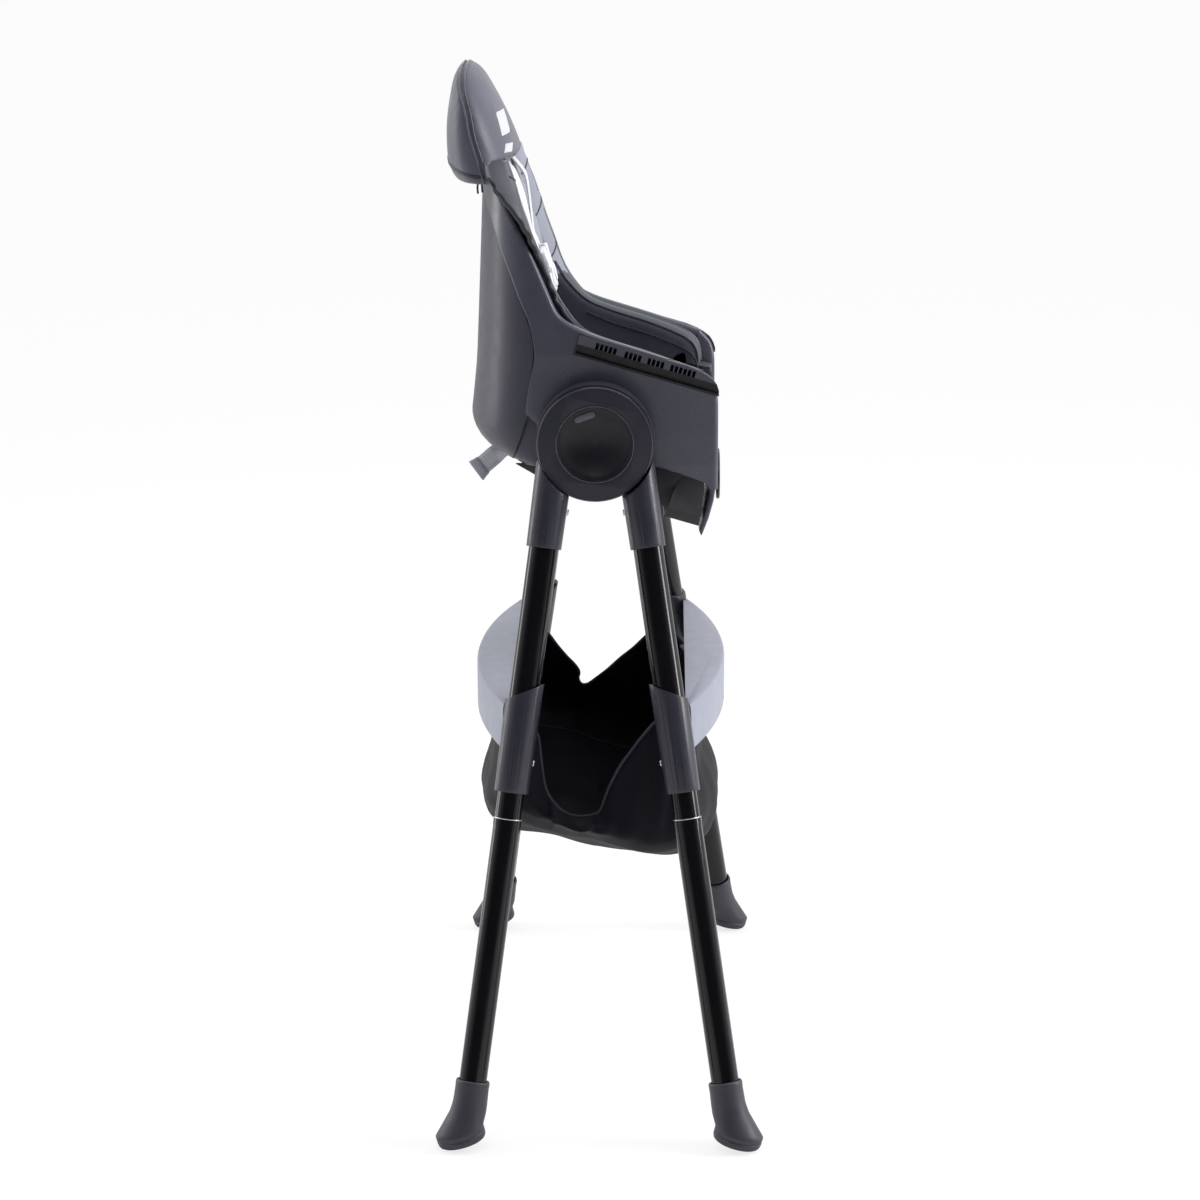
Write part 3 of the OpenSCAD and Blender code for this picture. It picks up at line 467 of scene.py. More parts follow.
# Outside of the shell: where its back lies, and how far its sides stand out.
def backY(z):
    if z < 8:
        return 80 + 47 * math.sqrt(max(0.02, 1 - ((8 - z) / 40) ** 2))
    return 127 - 11 * ((z - 8) / 232) ** 0.8

def halfWidth(z):
    return 128 - lookup(z, [(-56, 5), (-30, 1), (0, 0), (80, 0), (120, 4), (180, 13), (240, 23), (300, 38)])

def tuck(z):
    return lookup(z, [(-56, 26), (-34, 16), (-26, 9), (-12, 2.5), (8, 0)])

def sideX(y, z):
    w = halfWidth(z)
    wr = w - tuck(z)
    if y <= -20:
        return w
    if y <= 52:
        return w + (wr - w) * (y + 20) / 72
    b = backY(z)
    s = min(1.0, ((y - 52) / (b - 52))) ** (1 / 0.9)
    return wr * max(0.0, 1 - s * s) ** 0.425

def resample(points, count):
    points = [Vector(p) for p in points]
    lengths = [0.0]
    for a, b in zip(points, points[1:]):
        lengths.append(lengths[-1] + (b - a).length)
    out = []
    k = 0
    for i in range(count):
        d = lengths[-1] * i / (count - 1)
        while k < len(points) - 2 and lengths[k + 1] < d:
            k += 1
        span = lengths[k + 1] - lengths[k]
        out.append(points[k].lerp(points[k + 1], (d - lengths[k]) / span if span else 0))
    return out

def flat(points):
    return [Vector((p[0], p[1], 0)) for p in points]

# Rim of a side panel: up the front, along the arm, up the pillar. Points are (y, height).
rimCorner = [(-119, -54), (-119, -20), (-119, 20), (-118.6, 36), (-116.5, 47), (-112, 55), (-105, 61.5)]
rimTop = [(s - 119, z) for z, s in edgeProfile[2:-1]] + [(98, 241)]
rimPath = resample(catmull(flat(rimCorner + rimTop), 8), 170)
lowPath = [(-111, -54), (-106, -47), (-82, -38), (-58, -30), (-20, -30), (20, -30), (52, -29), (57.5, -10),
           (57.5, 12)]
seamPath = [(s, z) for z, s in seamProfile[1:]]
farPath = resample(flat(lowPath) + catmull(flat(seamPath), 4), 170)

shell = {"wall": 14.0, "rimRound": 4.5, "sharp": 50}

def shellSide():
    wall, r = shell["wall"], shell["rimRound"]
    rows = []
    count = len(rimPath)
    for i in range(count):
        a = rimPath[i]
        t = (rimPath[min(i + 1, count - 1)] - rimPath[max(i - 1, 0)]).normalized()
        inward = Vector((t.y, -t.x, 0))
        b = farPath[i]
        reach = b - a
        row = []
        def put(p, inset):
            row.append((-(sideX(p.x, p.y) - inset), p.x, p.y))
        put(b, 3.0)
        put(b, 0.8)
        put(b + (a - b).normalized() * 0.9, 0.0)
        for k in range(1, 15):
            put(b.lerp(a + inward * r, k / 15), 0.0)
        quarter = [math.pi / 2 * k / 5 for k in range(6)]
        for ang in quarter:
            put(a + inward * r * (1 - math.sin(ang)), r * (1 - math.cos(ang)))
        for ang in quarter:
            put(a + inward * r * (1 - math.cos(ang)), wall - r + r * math.sin(ang))
        inner = min(40.0, reach.length * 0.6)
        for k in range(1, 6):
            put(a + (inward * r).lerp(inward * inner, k / 5), wall)
        for k in range(1, 4):
            put((a + inward * inner).lerp(b, k / 4), wall * 0.9)
        rows.append(row)
    return rows

def cutWith(obj, cutters):
    for c in cutters:
        mod = obj.modifiers.new("cut", "BOOLEAN")
        mod.operation = "DIFFERENCE"
        mod.solver = "EXACT"
        mod.object = c
        evaluated(obj)
        bpy.data.objects.remove(c, do_unlink=True)

# The slot for a tray rail, cut a little larger than the rail.
def railBlock(side):
    bm = bmesh.new()
    c, s = math.cos(math.radians(rail["angle"])), math.sin(math.radians(rail["angle"]))
    y0, z0 = rail["middle"]
    run, rise = (half + rail["gap"] for half in rail["half"])
    ring = []
    for u, v in ((-1, -1), (1, -1), (1, 1), (-1, 1)):
        du, dv = u * run, v * rise
        ring.append((y0 + du * c - dv * s, z0 + du * s + dv * c))
    a = [bm.verts.new(at(side * (rail["inner"] - rail["gap"]), y, z)) for y, z in ring]
    b = [bm.verts.new(at(side * rail["outer"], y, z)) for y, z in ring]
    bm.faces.new(a[::-1])
    bm.faces.new(b)
    for i in range(4):
        bm.faces.new((a[i], a[(i + 1) % 4], b[(i + 1) % 4], b[i]))
    return fromBmesh(bm, "railCutter", None, None)

seatShell = gridPiece("shellSides", shellSide(), finishes["shell"], None, loop=True, ends=True, both=True,
                      sharp=shell["sharp"])
cutWith(seatShell, [railBlock(-1), railBlock(1)])
seatShell.data.set_sharp_from_angle(angle=math.radians(shell["sharp"]))
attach(seatShell, "seat")
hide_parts("seat_shell")

# Rear casing: one skin from seam to seam round the back, closed underneath.
casing = {"wide": 0.5, "deep": 0.3, "slimming": 2.3, "floor": -34.6, "sharp": 50}
casingLevels = [-34, -33, -31, -28, -24, -19, -13, -6, 0, 5, 9, 11, 13, 15, 17, 20, 26, 34, 44, 55, 66, 78, 90,
                105, 120, 136, 152, 170, 188, 206, 224, 240]

def casingRows():
    rows = []
    seam = [(-60, 20), (10, 20), (15, 58)] + seamProfile[1:]
    for z in casingLevels:
        b = backY(z) - casing["slimming"] * max(0.0, min(1.0, (z - 10) / 50))
        y0 = lookup(z, seam) + 0.5
        wr = halfWidth(z) - tuck(z)
        start = 0.0 if y0 <= 52 else math.asin(min(1, ((y0 - 52) / (b - 52)) ** (1 / 0.9)))
        arc = []
        for k in range(33):
            ang = start + (math.pi / 2 - start) * k / 32
            arc.append((wr * max(0, math.cos(ang)) ** 0.85, 52 + (b - 52) * math.sin(ang) ** 0.9))
        if y0 < 52:
            half = [(sideX(y, z), y) for y in (y0 + (52 - y0) * k / 7 for k in range(7))]
        else:
            half = [Vector(arc[0]).lerp(Vector(arc[1]), k / 7)[:] for k in range(7)]
        half += arc[:-1]
        skin = [(x - casing["wide"], y - casing["deep"], z) for x, y in half] + [(0, b - casing["deep"], z)]
        edge = [(skin[0][0] - 2.5, skin[0][1] + 0.8, z), (skin[0][0] - 0.6, skin[0][1] + 0.1, z)]
        row = edge + skin
        rows.append([(-x, y, z) for x, y, _ in row] + row[-2::-1])
    under = []
    for k in (0.0, 0.35, 0.7, 0.93, 1.0):
        share, level = 0.02 + 0.95 * k, casing["floor"] + (0.3 if k == 1 else 0)
        under.append([(x * share, 45 + (y - 45) * share if y > 45 else y, level) for x, y, _ in rows[0]])
    return under + rows

gridPiece("casingSkin", casingRows(), finishes["casing"], "seat", ("rear_casing",), sharp=casing["sharp"])

# Slim fins that stand out of the casing beside each hub.
fin = {"top": (66.5, 19), "run": 15.5, "drop": 46, "stations": 7}

def finRows():
    rows = []
    for k in range(fin["stations"]):
        t = k / (fin["stations"] - 1)
        y, z = fin["top"][0] + fin["run"] * t, fin["top"][1] - fin["drop"] * t
        out, w = 1.2 + 2.5 * math.sin(math.pi * min(1, t * 1.1)), 0.5 + 1.1 * t
        x = sideX(y, z)
        rows.append([(-(x - 2), y - w, z), (-(x + out), y - w * 0.6, z), (-(x + out + 0.3), y, z - 0.2),
                     (-(x + out), y + w * 0.6, z), (-(x - 2), y + w, z)])
    return rows

gridPiece("casingFins", finRows(), finishes["black"], "seat", loop=True, ends=True, both=True)
print("stage: shell done")

# Head cover, by height: half width, and how far back its seam, rear and front lie.
hoodWidth = [(240, 104), (250, 105), (271, 102), (294, 99), (312, 93), (328, 84), (337, 74), (343, 62),
             (347.5, 46), (350, 26), (351, 14)]
hoodSeam = [(240, 104), (247, 106), (267, 112), (287, 118), (308, 122), (328, 127.5), (340, 129), (351, 129)]
hoodRear = [(240, 136), (245, 141.5), (258, 147), (279, 148.3), (295, 147.9), (310, 146), (325, 143),
            (338, 141), (345, 138.5), (349, 134.5), (351, 130.5)]
hoodFront = [(240, 64), (257, 71), (271, 76), (283, 80.6), (296, 86.3), (312, 94), (325, 101.2), (338, 108.8),
             (345, 114.8), (349, 121.5), (351, 127.5)]
headPadding = {"voxel": 4.0, "pressure": 3.0, "cap": 2.2}
headSeam = {"sink": 1.6, "width": 2.2, "cordGap": 2.3, "cord": 1.0, "cordLift": 0.5}

def hoodPoint(z, angle, swell=0.0):
    w = smoothLookup(z, hoodWidth) - swell
    seam = smoothLookup(z, hoodSeam)
    c, s = math.cos(angle), math.sin(angle)
    if s < 0:
        swell += lookup(z, [(240, 17), (259, 15), (262, 2), (264, 0)]) * min(1.0, -s * 1.6)
    if s >= 0:
        return (w * squarer(c, 0.55), seam + (smoothLookup(z, hoodRear) - swell - seam) * abs(s) ** 0.8, z)
    return (w * squarer(c, 0.85), seam - (seam - smoothLookup(z, hoodFront) - swell) * abs(s) ** 1.05, z)

def hoodRows(swell):
    levels = [240.6, 242, 245, 250, 256, 259, 261, 262.5, 264, 268, 273, 281, 289, 297, 305, 312, 319, 325,
              331, 336, 340, 343.5, 346.5, 349]
    rows = [[hoodPoint(z, angle, swell) for angle in turns(72)] for z in levels]
    rows.append([(p[0] * 0.5, 129 + (p[1] - 129) * 0.5, 350.2) for p in rows[-1]])
    return rows

def heldHood(p):
    seam = smoothLookup(p.z, hoodSeam)
    near = abs(p.y - seam) if abs(p.x) > 20 or p.z > 340 else 99
    low = max(0.0, 1 - (p.z - 240) / 8)
    if p.y < seam - 4 and p.z < 270:
        low = max(0.0, min(1.0, 1 - (p.z - 263) / 7))
    return max(low, 1 - near / 7 if near < 7 else 0.0)

hood = gridPiece("headCover", hoodRows(1.6), finishes["cover"], None, loop=True, ends=True)
inflate(hood, heldHood, **headPadding)

def surfaceOf(obj):
    bm = bmesh.new()
    bm.from_mesh(obj.data)
    tree = BVHTree.FromBMesh(bm)
    bm.free()
    return tree

# Draws points on to a surface, then lifts them off it.
def laid(points, tree, lift):
    out = []
    for p in points:
        spot, normal, _, _ = tree.find_nearest(at(*p))
        out.append(inMm(spot + normal * lift * 0.001))
    return out

# Presses a soft groove into a piece along the given paths.
def sinkAlong(obj, paths, depth, width):
    points = [at(*p) for path in paths for p in path]
    tree = KDTree(len(points))
    for i, p in enumerate(points):
        tree.insert(p, i)
    tree.balance()
    normals = [v.normal.copy() for v in obj.data.vertices]
    for v, n in zip(obj.data.vertices, normals):
        d = tree.find(v.co)[2] * 1000
        if d < width * 2.5:
            v.co -= n * depth * 0.001 * math.exp(-(d / width) ** 2)

# Two cords run along the cover's seam, one on each side of a sunk groove.
seamLevels = [241, 247, 254, 262, 271, 280, 289, 298, 306, 314, 320, 326, 332, 337, 341, 344.5, 347, 349, 350.2]
seamHalf = [(-smoothLookup(z, hoodWidth), smoothLookup(z, hoodSeam), z) for z in seamLevels]
seamRound = seamHalf + [(0, 129, 350.8)] + mirrored(seamHalf)[::-1]
seamRound = resample(catmull(seamRound, 4), 150)
sinkAlong(hood, [seamRound], headSeam["sink"], headSeam["width"])
hood.data.update()
hoodSkin = surfaceOf(hood)
seamCords = [laid([(p.x, p.y + side * headSeam["cordGap"], p.z) for p in seamRound], hoodSkin, headSeam["cordLift"])
             for side in (1, -1)]
tubePiece("headCoverPiping", seamCords, headSeam["cord"], finishes["piping"], "seat")
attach(hood, "seat")
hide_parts("head_cover")

# Band that binds the lower edge of the rear pocket.
band = {"low": 246, "rise": 13, "height": 4.5, "lift": 0.0009, "edgeLift": 0.0002}

def bandRows():
    rows = []
    for k in range(61):
        ang = math.pi * k / 60
        side = abs(math.cos(ang))
        low = band["low"] + band["rise"] * (1 - side ** 1.2)
        high = low + band["height"]
        row = []
        for j in range(6):
            z = low + (high - low) * j / 5
            x, y, _ = hoodPoint(z, ang)
            spot, normal, _, _ = hoodSkin.find_nearest(at(x, y, z))
            row.append(inMm(spot + normal * (band["lift"] if 0 < j < 5 else band["edgeLift"])))
        row += [q + Vector((-q.x * 0.03, (100 - q.y) * 0.06, 0)) for q in reversed(row)]
        rows.append(row)
    return rows

gridPiece("headCoverBand", bandRows(), finishes["trim"], "seat", loop=True, ends=True)

# Plain label patches, left bare: the ends of their upper and lower edges as (across, height).
patches = {"Large": (((-57, 307), (-8, 306.5)), ((-69, 283), (-36, 284))),
           "Small": (((-67, 277), (-41, 276)), ((-78, 268.5), (-58, 267.5)))}

def patchRows(upper, lower, lift=0.7):
    rows = []
    for k in range(9):
        row = []
        for j in range(11):
            low, high = (Vector(side[0]).lerp(Vector(side[1]), j / 10) for side in (lower, upper))
            p = low.lerp(high, k / 8)
            spot, normal, _, _ = hoodSkin.ray_cast(at(p.x, -60, p.y), Vector((0, 1, 0)))
            edge = min(j, 10 - j, k, 8 - k)
            row.append(inMm(spot + normal * (lift if edge else -0.4) * 0.001))
        rows.append(row)
    return rows

for size, edges in patches.items():
    gridPiece("headLabel" + size, patchRows(*edges), finishes["patch"], "seat")

# Stitches and screws are set out by node trees, which share how they open and how they end.
def openTree(name, sockets):
    tree = bpy.data.node_groups.new(name, "GeometryNodeTree")
    for label, kind in sockets.items():
        tree.interface.new_socket(label, in_out="INPUT", socket_type="NodeSocket" + kind)
    tree.interface.new_socket("Geometry", in_out="OUTPUT", socket_type="NodeSocketGeometry")
    def add(kind, **settings):
        n = tree.nodes.new(kind)
        for k, v in settings.items():
            setattr(n, k, v)
        return n
    given, unit = add("NodeGroupInput"), add("GeometryNodeObjectInfo")
    aim = add("GeometryNodeInputNamedAttribute", data_type="FLOAT_VECTOR")
    aim.inputs["Name"].default_value = "aim"
    spread = add("GeometryNodeInstanceOnPoints")
    tree.links.new(given.outputs["Unit"], unit.inputs["Object"])
    tree.links.new(unit.outputs["Geometry"], spread.inputs["Instance"])
    return tree, add, given, aim, spread

def closeTree(tree, add, given, instances):
    real, paint, out = add("GeometryNodeRealizeInstances"), add("GeometryNodeSetMaterial"), add("NodeGroupOutput")
    tree.links.new(instances, real.inputs[0])
    tree.links.new(real.outputs[0], paint.inputs["Geometry"])
    tree.links.new(given.outputs["Finish"], paint.inputs["Material"])
    tree.links.new(paint.outputs[0], out.inputs[0])
    return tree

# A thread's bulge: (place along it, radius), flattened and lifted on to the cloth.
stitch = {"profile": ((-1.0, 0.05), (-0.85, 0.22), (0, 0.3), (0.85, 0.22), (1.0, 0.05)),
          "lift": 0.12, "flatness": 0.7, "sizes": (0.94, 1.06), "seed": 3}

# Sets a unit along a path, lying along it and upright on the surface.
def stitchTree():
    tree, add, given, aim, spread = openTree("runAlongPath", {
        "Geometry": "Geometry", "Spacing": "Float", "Unit": "Object", "Finish": "Material", "Seed": "Int"})
    link = tree.links.new
    curve = add("GeometryNodeMeshToCurve")
    even = add("GeometryNodeResampleCurve", mode="LENGTH")
    tangent = add("GeometryNodeInputTangent")
    first = add("FunctionNodeAlignRotationToVector", axis="X")
    second = add("FunctionNodeAlignRotationToVector", axis="Z", pivot_axis="X")
    size = add("FunctionNodeRandomValue", data_type="FLOAT")
    size.inputs[2].default_value, size.inputs[3].default_value = stitch["sizes"]
    link(given.outputs["Geometry"], curve.inputs["Mesh"])
    link(curve.outputs["Curve"], even.inputs["Curve"])
    link(given.outputs["Spacing"], even.inputs["Length"])
    link(tangent.outputs[0], first.inputs["Vector"])
    link(first.outputs[0], second.inputs["Rotation"])
    link(aim.outputs["Attribute"], second.inputs["Vector"])
    link(even.outputs["Curve"], spread.inputs["Points"])
    link(second.outputs[0], spread.inputs["Rotation"])
    link(given.outputs["Seed"], size.inputs["Seed"])
    link(size.outputs[1], spread.inputs["Scale"])
    return closeTree(tree, add, given, spread.outputs[0])

# Sets a unit on each point, facing the way the point aims.
def screwTree():
    tree, add, given, aim, spread = openTree("headOnPoint", {
        "Geometry": "Geometry", "Unit": "Object", "Finish": "Material", "Turn": "Float"})
    link = tree.links.new
    turn = add("FunctionNodeAlignRotationToVector", axis="Z")
    spin = add("GeometryNodeRotateInstances")
    pack = add("ShaderNodeCombineXYZ")
    link(aim.outputs["Attribute"], turn.inputs["Vector"])
    link(given.outputs["Geometry"], spread.inputs["Points"])
    link(turn.outputs[0], spread.inputs["Rotation"])
    link(given.outputs["Turn"], pack.inputs["Z"])
    link(spread.outputs[0], spin.inputs["Instances"])
    link(pack.outputs[0], spin.inputs["Rotation"])
    return closeTree(tree, add, given, spin.outputs[0])

trees = {"along": stitchTree(), "points": screwTree()}

def runNodes(name, points, aims, tree, values, body, edges=True):
    mesh = bpy.data.meshes.new(name)
    links = [(i, i + 1) for i in range(len(points) - 1)] if edges else []
    mesh.from_pydata([at(*p) for p in points], links, [])
    attr = mesh.attributes.new("aim", "FLOAT_VECTOR", "POINT")
    for i, a in enumerate(aims):
        attr.data[i].vector = a
    obj = bpy.data.objects.new(name, mesh)
    bpy.context.scene.collection.objects.link(obj)
    mod = obj.modifiers.new("spread", "NODES")
    mod.node_group = tree
    for item in tree.interface.items_tree:
        if item.item_type == "SOCKET" and item.in_out == "INPUT" and item.name in values:
            mod[item.identifier] = values[item.name]
    evaluated(obj)
    smoothFaces(obj.data)
    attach(obj, body)
    return obj

def unitPiece(name, rows):
    bm = bmesh.new()
    rings = [[bm.verts.new(Vector(p) * 0.001) for p in row] for row in rows]
    n = len(rows[0])
    for a, b in zip(rings, rings[1:]):
        for j in range(n):
            bm.faces.new((a[j], a[(j + 1) % n], b[(j + 1) % n], b[j]))
    bm.faces.new(list(reversed(rings[0])))
    bm.faces.new(rings[-1])
    bmesh.ops.recalc_face_normals(bm, faces=bm.faces)
    mesh = bpy.data.meshes.new(name)
    bm.to_mesh(mesh)
    bm.free()
    return bpy.data.objects.new(name, mesh)

stitchUnit = unitPiece("stitchUnit", [[(x, r * math.cos(a), stitch["lift"] + r * stitch["flatness"] * math.sin(a))
                                       for a in turns(6)] for x, r in stitch["profile"]])

def stitches(name, points, tree, spacing):
    aims, on = [], []
    for p in points:
        spot, normal, _, _ = tree.find_nearest(at(*p))
        on.append(inMm(spot))
        aims.append(normal)
    values = {"Spacing": spacing * 0.001, "Unit": stitchUnit, "Finish": finishes["thread"], "Seed": stitch["seed"]}
    return runNodes(name, on, aims, trees["along"], values, "seat")

# Stitch row across the front of the head cover, and beside its piping.
cross = [hoodPoint(266 - 3 * math.cos(a) ** 4, -a) for a in [math.pi * k / 60 for k in range(2, 59)]]
stitches("headCoverStitches", cross, hoodSkin, 3.0)
stitches("headCoverSeamStitches", [(p.x, p.y - 5.2, p.z) for p in seamRound[4:-4]], hoodSkin, 3.2)
print("stage: head cover done")

# How far back the face of the padded cover lies, by height.
def padFront(z):
    return lookup(z, [(-20, 36), (40, 42), (125, 50), (185, 66), (240, 84), (260, 91)])

# Stations of a side roll: outer edge, crest and inner edge.
rollStations = [
    ((-98, 105, 263), (-86, 79.5, 262), (-62, 85, 262)),
    ((-105, 102, 249), (-89, 76.5, 251), (-63, 82, 251)),
    ((-108, 92, 234), (-93, 72, 238), (-66, 77.5, 238)),
    ((-112, 78, 217), (-97, 66.5, 224), (-69, 73.5, 224)),
    ((-113, 66.5, 200), (-100, 60.5, 205), (-71, 68.5, 205)),
    ((-110, 58, 181), (-101, 54, 184), (-75, 62, 184)),
    ((-104.5, 49, 160), (-100, 46.5, 163), (-80, 54, 163)),
    ((-104.5, 41, 139), (-101, 39.5, 141), (-84, 45, 141)),
    ((-107, 30.5, 119), (-103, 28.5, 121), (-90, 32.5, 120)),
    ((-110, 13, 100.5), (-106, 12, 102), (-94, 13, 100)),
    ((-112, -14, 89.5), (-107, -14, 90.5), (-96, -14, 88)),
    ((-112, -50, 78.5), (-107, -50, 79.5), (-96, -50, 76.5)),
    ((-112, -80, 67), (-107, -80, 68), (-96, -79, 65)),
    ((-112, -95, 58.5), (-107, -96, 58.5), (-96, -94, 56)),
    ((-111, -102, 45), (-106.5, -103, 45), (-96, -101, 43)),
    ((-110, -103, 18), (-105.5, -103.5, 18), (-96, -102, 18)),
    ((-110, -103, 0), (-105.5, -103.5, 0), (-96, -102, 0)),
]

# The left roll is pressed back a little where the right one stands proud.
pressed = [(121, 0), (141, 2), (163, 3.5), (184, 4.5), (205, 6), (224, 5.5), (238, 4.5), (251, 4.5), (262, 5.5)]

def pressedBack(p):
    return (p[0], p[1] + lookup(p[2], pressed), p[2])

leftStations = [(outer, pressedBack(crest), pressedBack(inner)) for outer, crest, inner in rollStations]

# Depth of a roll: by height where it stands up the back, by place along the arm below that.
roll = {"bend": 110, "depthAbove": [(190, 34), (230, 20)],
        "depthAlong": [(-103, 12), (-96, 24), (-88, 40), (-70, 46)],
        "lightEdge": [(140, 97), (205, 96), (251, 85), (262, 82)], "lightFrom": 128}

def rollRows(stations):
    fine = [catmull([s[k] for s in stations], 7) for k in range(3)]
    rows = []
    n = len(fine[0])
    for i in range(n):
        e, f, inner = fine[0][i], fine[1][i], fine[2][i]
        a, b = fine[1][max(0, i - 1)], fine[1][min(n - 1, i + 1)]
        t = (b - a).normalized()
        deep = Vector((0, -t.z, t.y))
        upright = f.z > roll["bend"]
        if (deep.y < 0) if upright else (deep.z > 0):
            deep = -deep
        wall = -(halfWidth(f.z) - 15.0)
        depth = lookup(f.z, roll["depthAbove"]) if upright else lookup(f.y, roll["depthAlong"])
        out = -deep
        pts = [e + deep * 2.5, e + Vector((-0.3, 0, 0)), e.lerp(f, 0.5) + out * 2.2, f + out * 0.3,
               f.lerp(inner, 0.5) + out * 1.2, inner + deep * 2.0 + Vector((1.5, 0, 0)),
               inner + deep * 12 + Vector((3, 0, 0)), inner + deep * depth,
               Vector((wall, f.y, f.z)) + deep * depth,
               Vector((max(wall, e.x + 0.8), e.y, e.z)) + deep * 8]
        for p in pts[-3:]:
            p.x = max(p.x, -max(20.0, sideX(p.y, min(p.z, 238)) - 16))
        closed = pts[-2:] + pts + pts[:2]
        smooth = catmull(closed, 4)
        rows.append(smooth[8:8 + 40])
    return rows

# The light panel's cover wraps over the inner face of each roll above the arms.
rolls = []
for side, word, stations in ((-1, "left", leftStations), (1, "right", rollStations)):
    rows = rollRows(stations)
    if side > 0:
        rows = [mirrored(row) for row in rows]
    piece = gridPiece("sideRoll" + word.capitalize(), rows, finishes["bolster"], "seat", ("bolster_" + word,),
                      loop=True, ends=True)
    piece.data.materials.append(finishes["panel"])
    for poly in piece.data.polygons:
        x, _, z = inMm(poly.center)
        if z > roll["lightFrom"] and abs(x) < lookup(z, roll["lightEdge"]):
            poly.material_index = 1
    rolls.append((piece, stations, side))

# Binding that puckers along each roll's outer edge, and piping along its inner edge.
cord = {"outerEdge": 0, "innerEdge": 2, "pucker": 1.1, "waver": 0.1, "binding": 2.5, "piping": 1.1, "low": 0.9}

def rollCord(stations, lead, lift, wave):
    line = catmull([s[lead] for s in stations], 10)
    out = []
    for i, p in enumerate(line):
        w = wave * math.sin(i * 0.9) * (0.6 + 0.4 * math.sin(i * 0.23))
        out.append(p + Vector((lift[0], lift[1] + w, lift[2])))
    return out

outerCord = rollCord(rollStations[1:-1], cord["outerEdge"], (-0.4, 0.8, -0.6), cord["pucker"])
innerCord = rollCord(rollStations[7:-1], cord["innerEdge"], (1.4, 0.2, -0.5), cord["waver"])
lowerCord = rollCord(rollStations[9:-1], cord["innerEdge"], (2.2, 0.2, 0), cord["waver"])
lowerCord = [Vector((p.x + 1.5, p.y, p.z - 13)) for p in lowerCord if p.y < 16]
for name, line, radius, finish in (("rollBinding", outerCord, cord["binding"], "trim"),
                                   ("rollPiping", innerCord, cord["piping"], "bolster"),
                                   ("rollPipingLow", lowerCord, cord["low"], "trim")):
    tubePiece(name, [line, mirrored(line)], radius, finishes[finish], "seat", 8)

# Seams cross the light inner face of each roll up to its crest, drawn as dark lines: painted shade in their creases.
rollSeams = []
for piece, stations, side in rolls:
    skin = surfaceOf(piece)
    crest = [(f[2], f[1]) for _, f, _ in stations[::-1]][7:]
    for z in (155, 201, 247):
        y = lookup(z, crest)
        line = [(side * (98 - 38 * k / 14), y - 1 + 6 * (k / 14), z + 4 - 22 * (k / 14) ** 0.8) for k in range(15)]
        rollSeams.append(laid(line, skin, 0.0))
tubePiece("rollSeams", rollSeams, 0.95, finishes["trim"], "seat", 6)

# Back pad: quilted across by its seams, light above the third one and dark below.
padSeams = [62, 108, 155, 201]
backPadding = {"voxel": 4.0, "pressure": 2.5, "cap": 3.0}
quilt = {"hollow": 7.5, "crown": 3.5, "sink": 2.4, "sinkWidth": 1.7, "stitchOffset": 4.5, "stitchGap": 3.4}

def padHalfWidth(z):
    return lookup(z, [(-21, 84), (60, 86), (120, 87), (160, 82), (205, 76), (249, 68)])

def backPadRows(swell):
    rows = []
    for z in [-21 + k * (281 / 83) for k in range(84)]:
        w = padHalfWidth(z)
        front = []
        for k in range(31):
            x = -w + 2 * w * k / 30
            edge = abs(x) / w
            gap = min(abs(z - s) for s in padSeams + [-21, 262])
            crown = quilt["crown"] * min(1.0, gap / 14) ** 0.5 * (1 - edge ** 4)
            hollow = quilt["hollow"] * edge ** 2 * lookup(z, [(0, 0.3), (130, 1), (250, 1)])
            front.append((x, padFront(z) - hollow - crown + 4 * edge ** 10 + 2 + swell, z))
        back = min(backY(z) - lookup(z, [(190, 19), (240, 26)]), padFront(z) + 30)
        rows.append(front + [(w, back - 4, z), (w * 0.6, back, z), (0, back, z), (-w * 0.6, back, z),
                             (-w, back - 4, z)])
    return rows

def heldBack(p):
    gap = min(abs(p.z - s) for s in padSeams)
    rim = max(0.0, 1 - (padHalfWidth(p.z) - abs(p.x)) / 5)
    behind = 1.0 if p.y > padFront(p.z) + 8 else 0.0
    return max(1 - gap / 4 if gap < 4 else 0, rim, behind, 1.0 if p.z < -16 or p.z > 256 else 0)

backPad = gridPiece("backPad", backPadRows(1.2), finishes["panel"], None, loop=True, ends=True)
inflate(backPad, heldBack, **backPadding)

# A line across the pad's hollow face at one height, set forward or back a little.
def acrossPad(z, xs, hollow, shift):
    return [(x, padFront(z) - hollow * (x / 80) ** 2 + shift, z) for x in xs]

sinkAlong(backPad, [acrossPad(s, range(-86, 87, 2), quilt["hollow"], 1) for s in padSeams],
          quilt["sink"], quilt["sinkWidth"])
backPad.data.materials.append(finishes["cover"])
for poly in backPad.data.polygons:
    if inMm(poly.center).z < padSeams[2]:
        poly.material_index = 1
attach(backPad, "seat")
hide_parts("back_pad")
backSkin = surfaceOf(backPad)
for s in padSeams[2:]:
    for z in (s + quilt["stitchOffset"], s - quilt["stitchOffset"]):
        stitches("backPadStitches", acrossPad(z, range(-70, 71, 3), 6, -2), backSkin, quilt["stitchGap"])
# Dark lines laid into the sunk seams: painted shade in the creases of the quilting.
creaseShadeLines = [[p + Vector((0, -0.1, 0)) for p in laid(acrossPad(s, range(-78, 79, 3), quilt["hollow"], 0), backSkin, 0)]
           for s in padSeams[2:]]
tubePiece("backPadSeams", creaseShadeLines, 0.9, finishes["trim"], "seat", 6)

cushionSeams = (-46, 0, 46)
cushionPadding = {"voxel": 5.0, "pressure": 3.0, "cap": 3.0}
cushion = {"front": -104.5, "length": 138, "halfWidth": 103.5, "base": -22.8, "puff": 13.5}

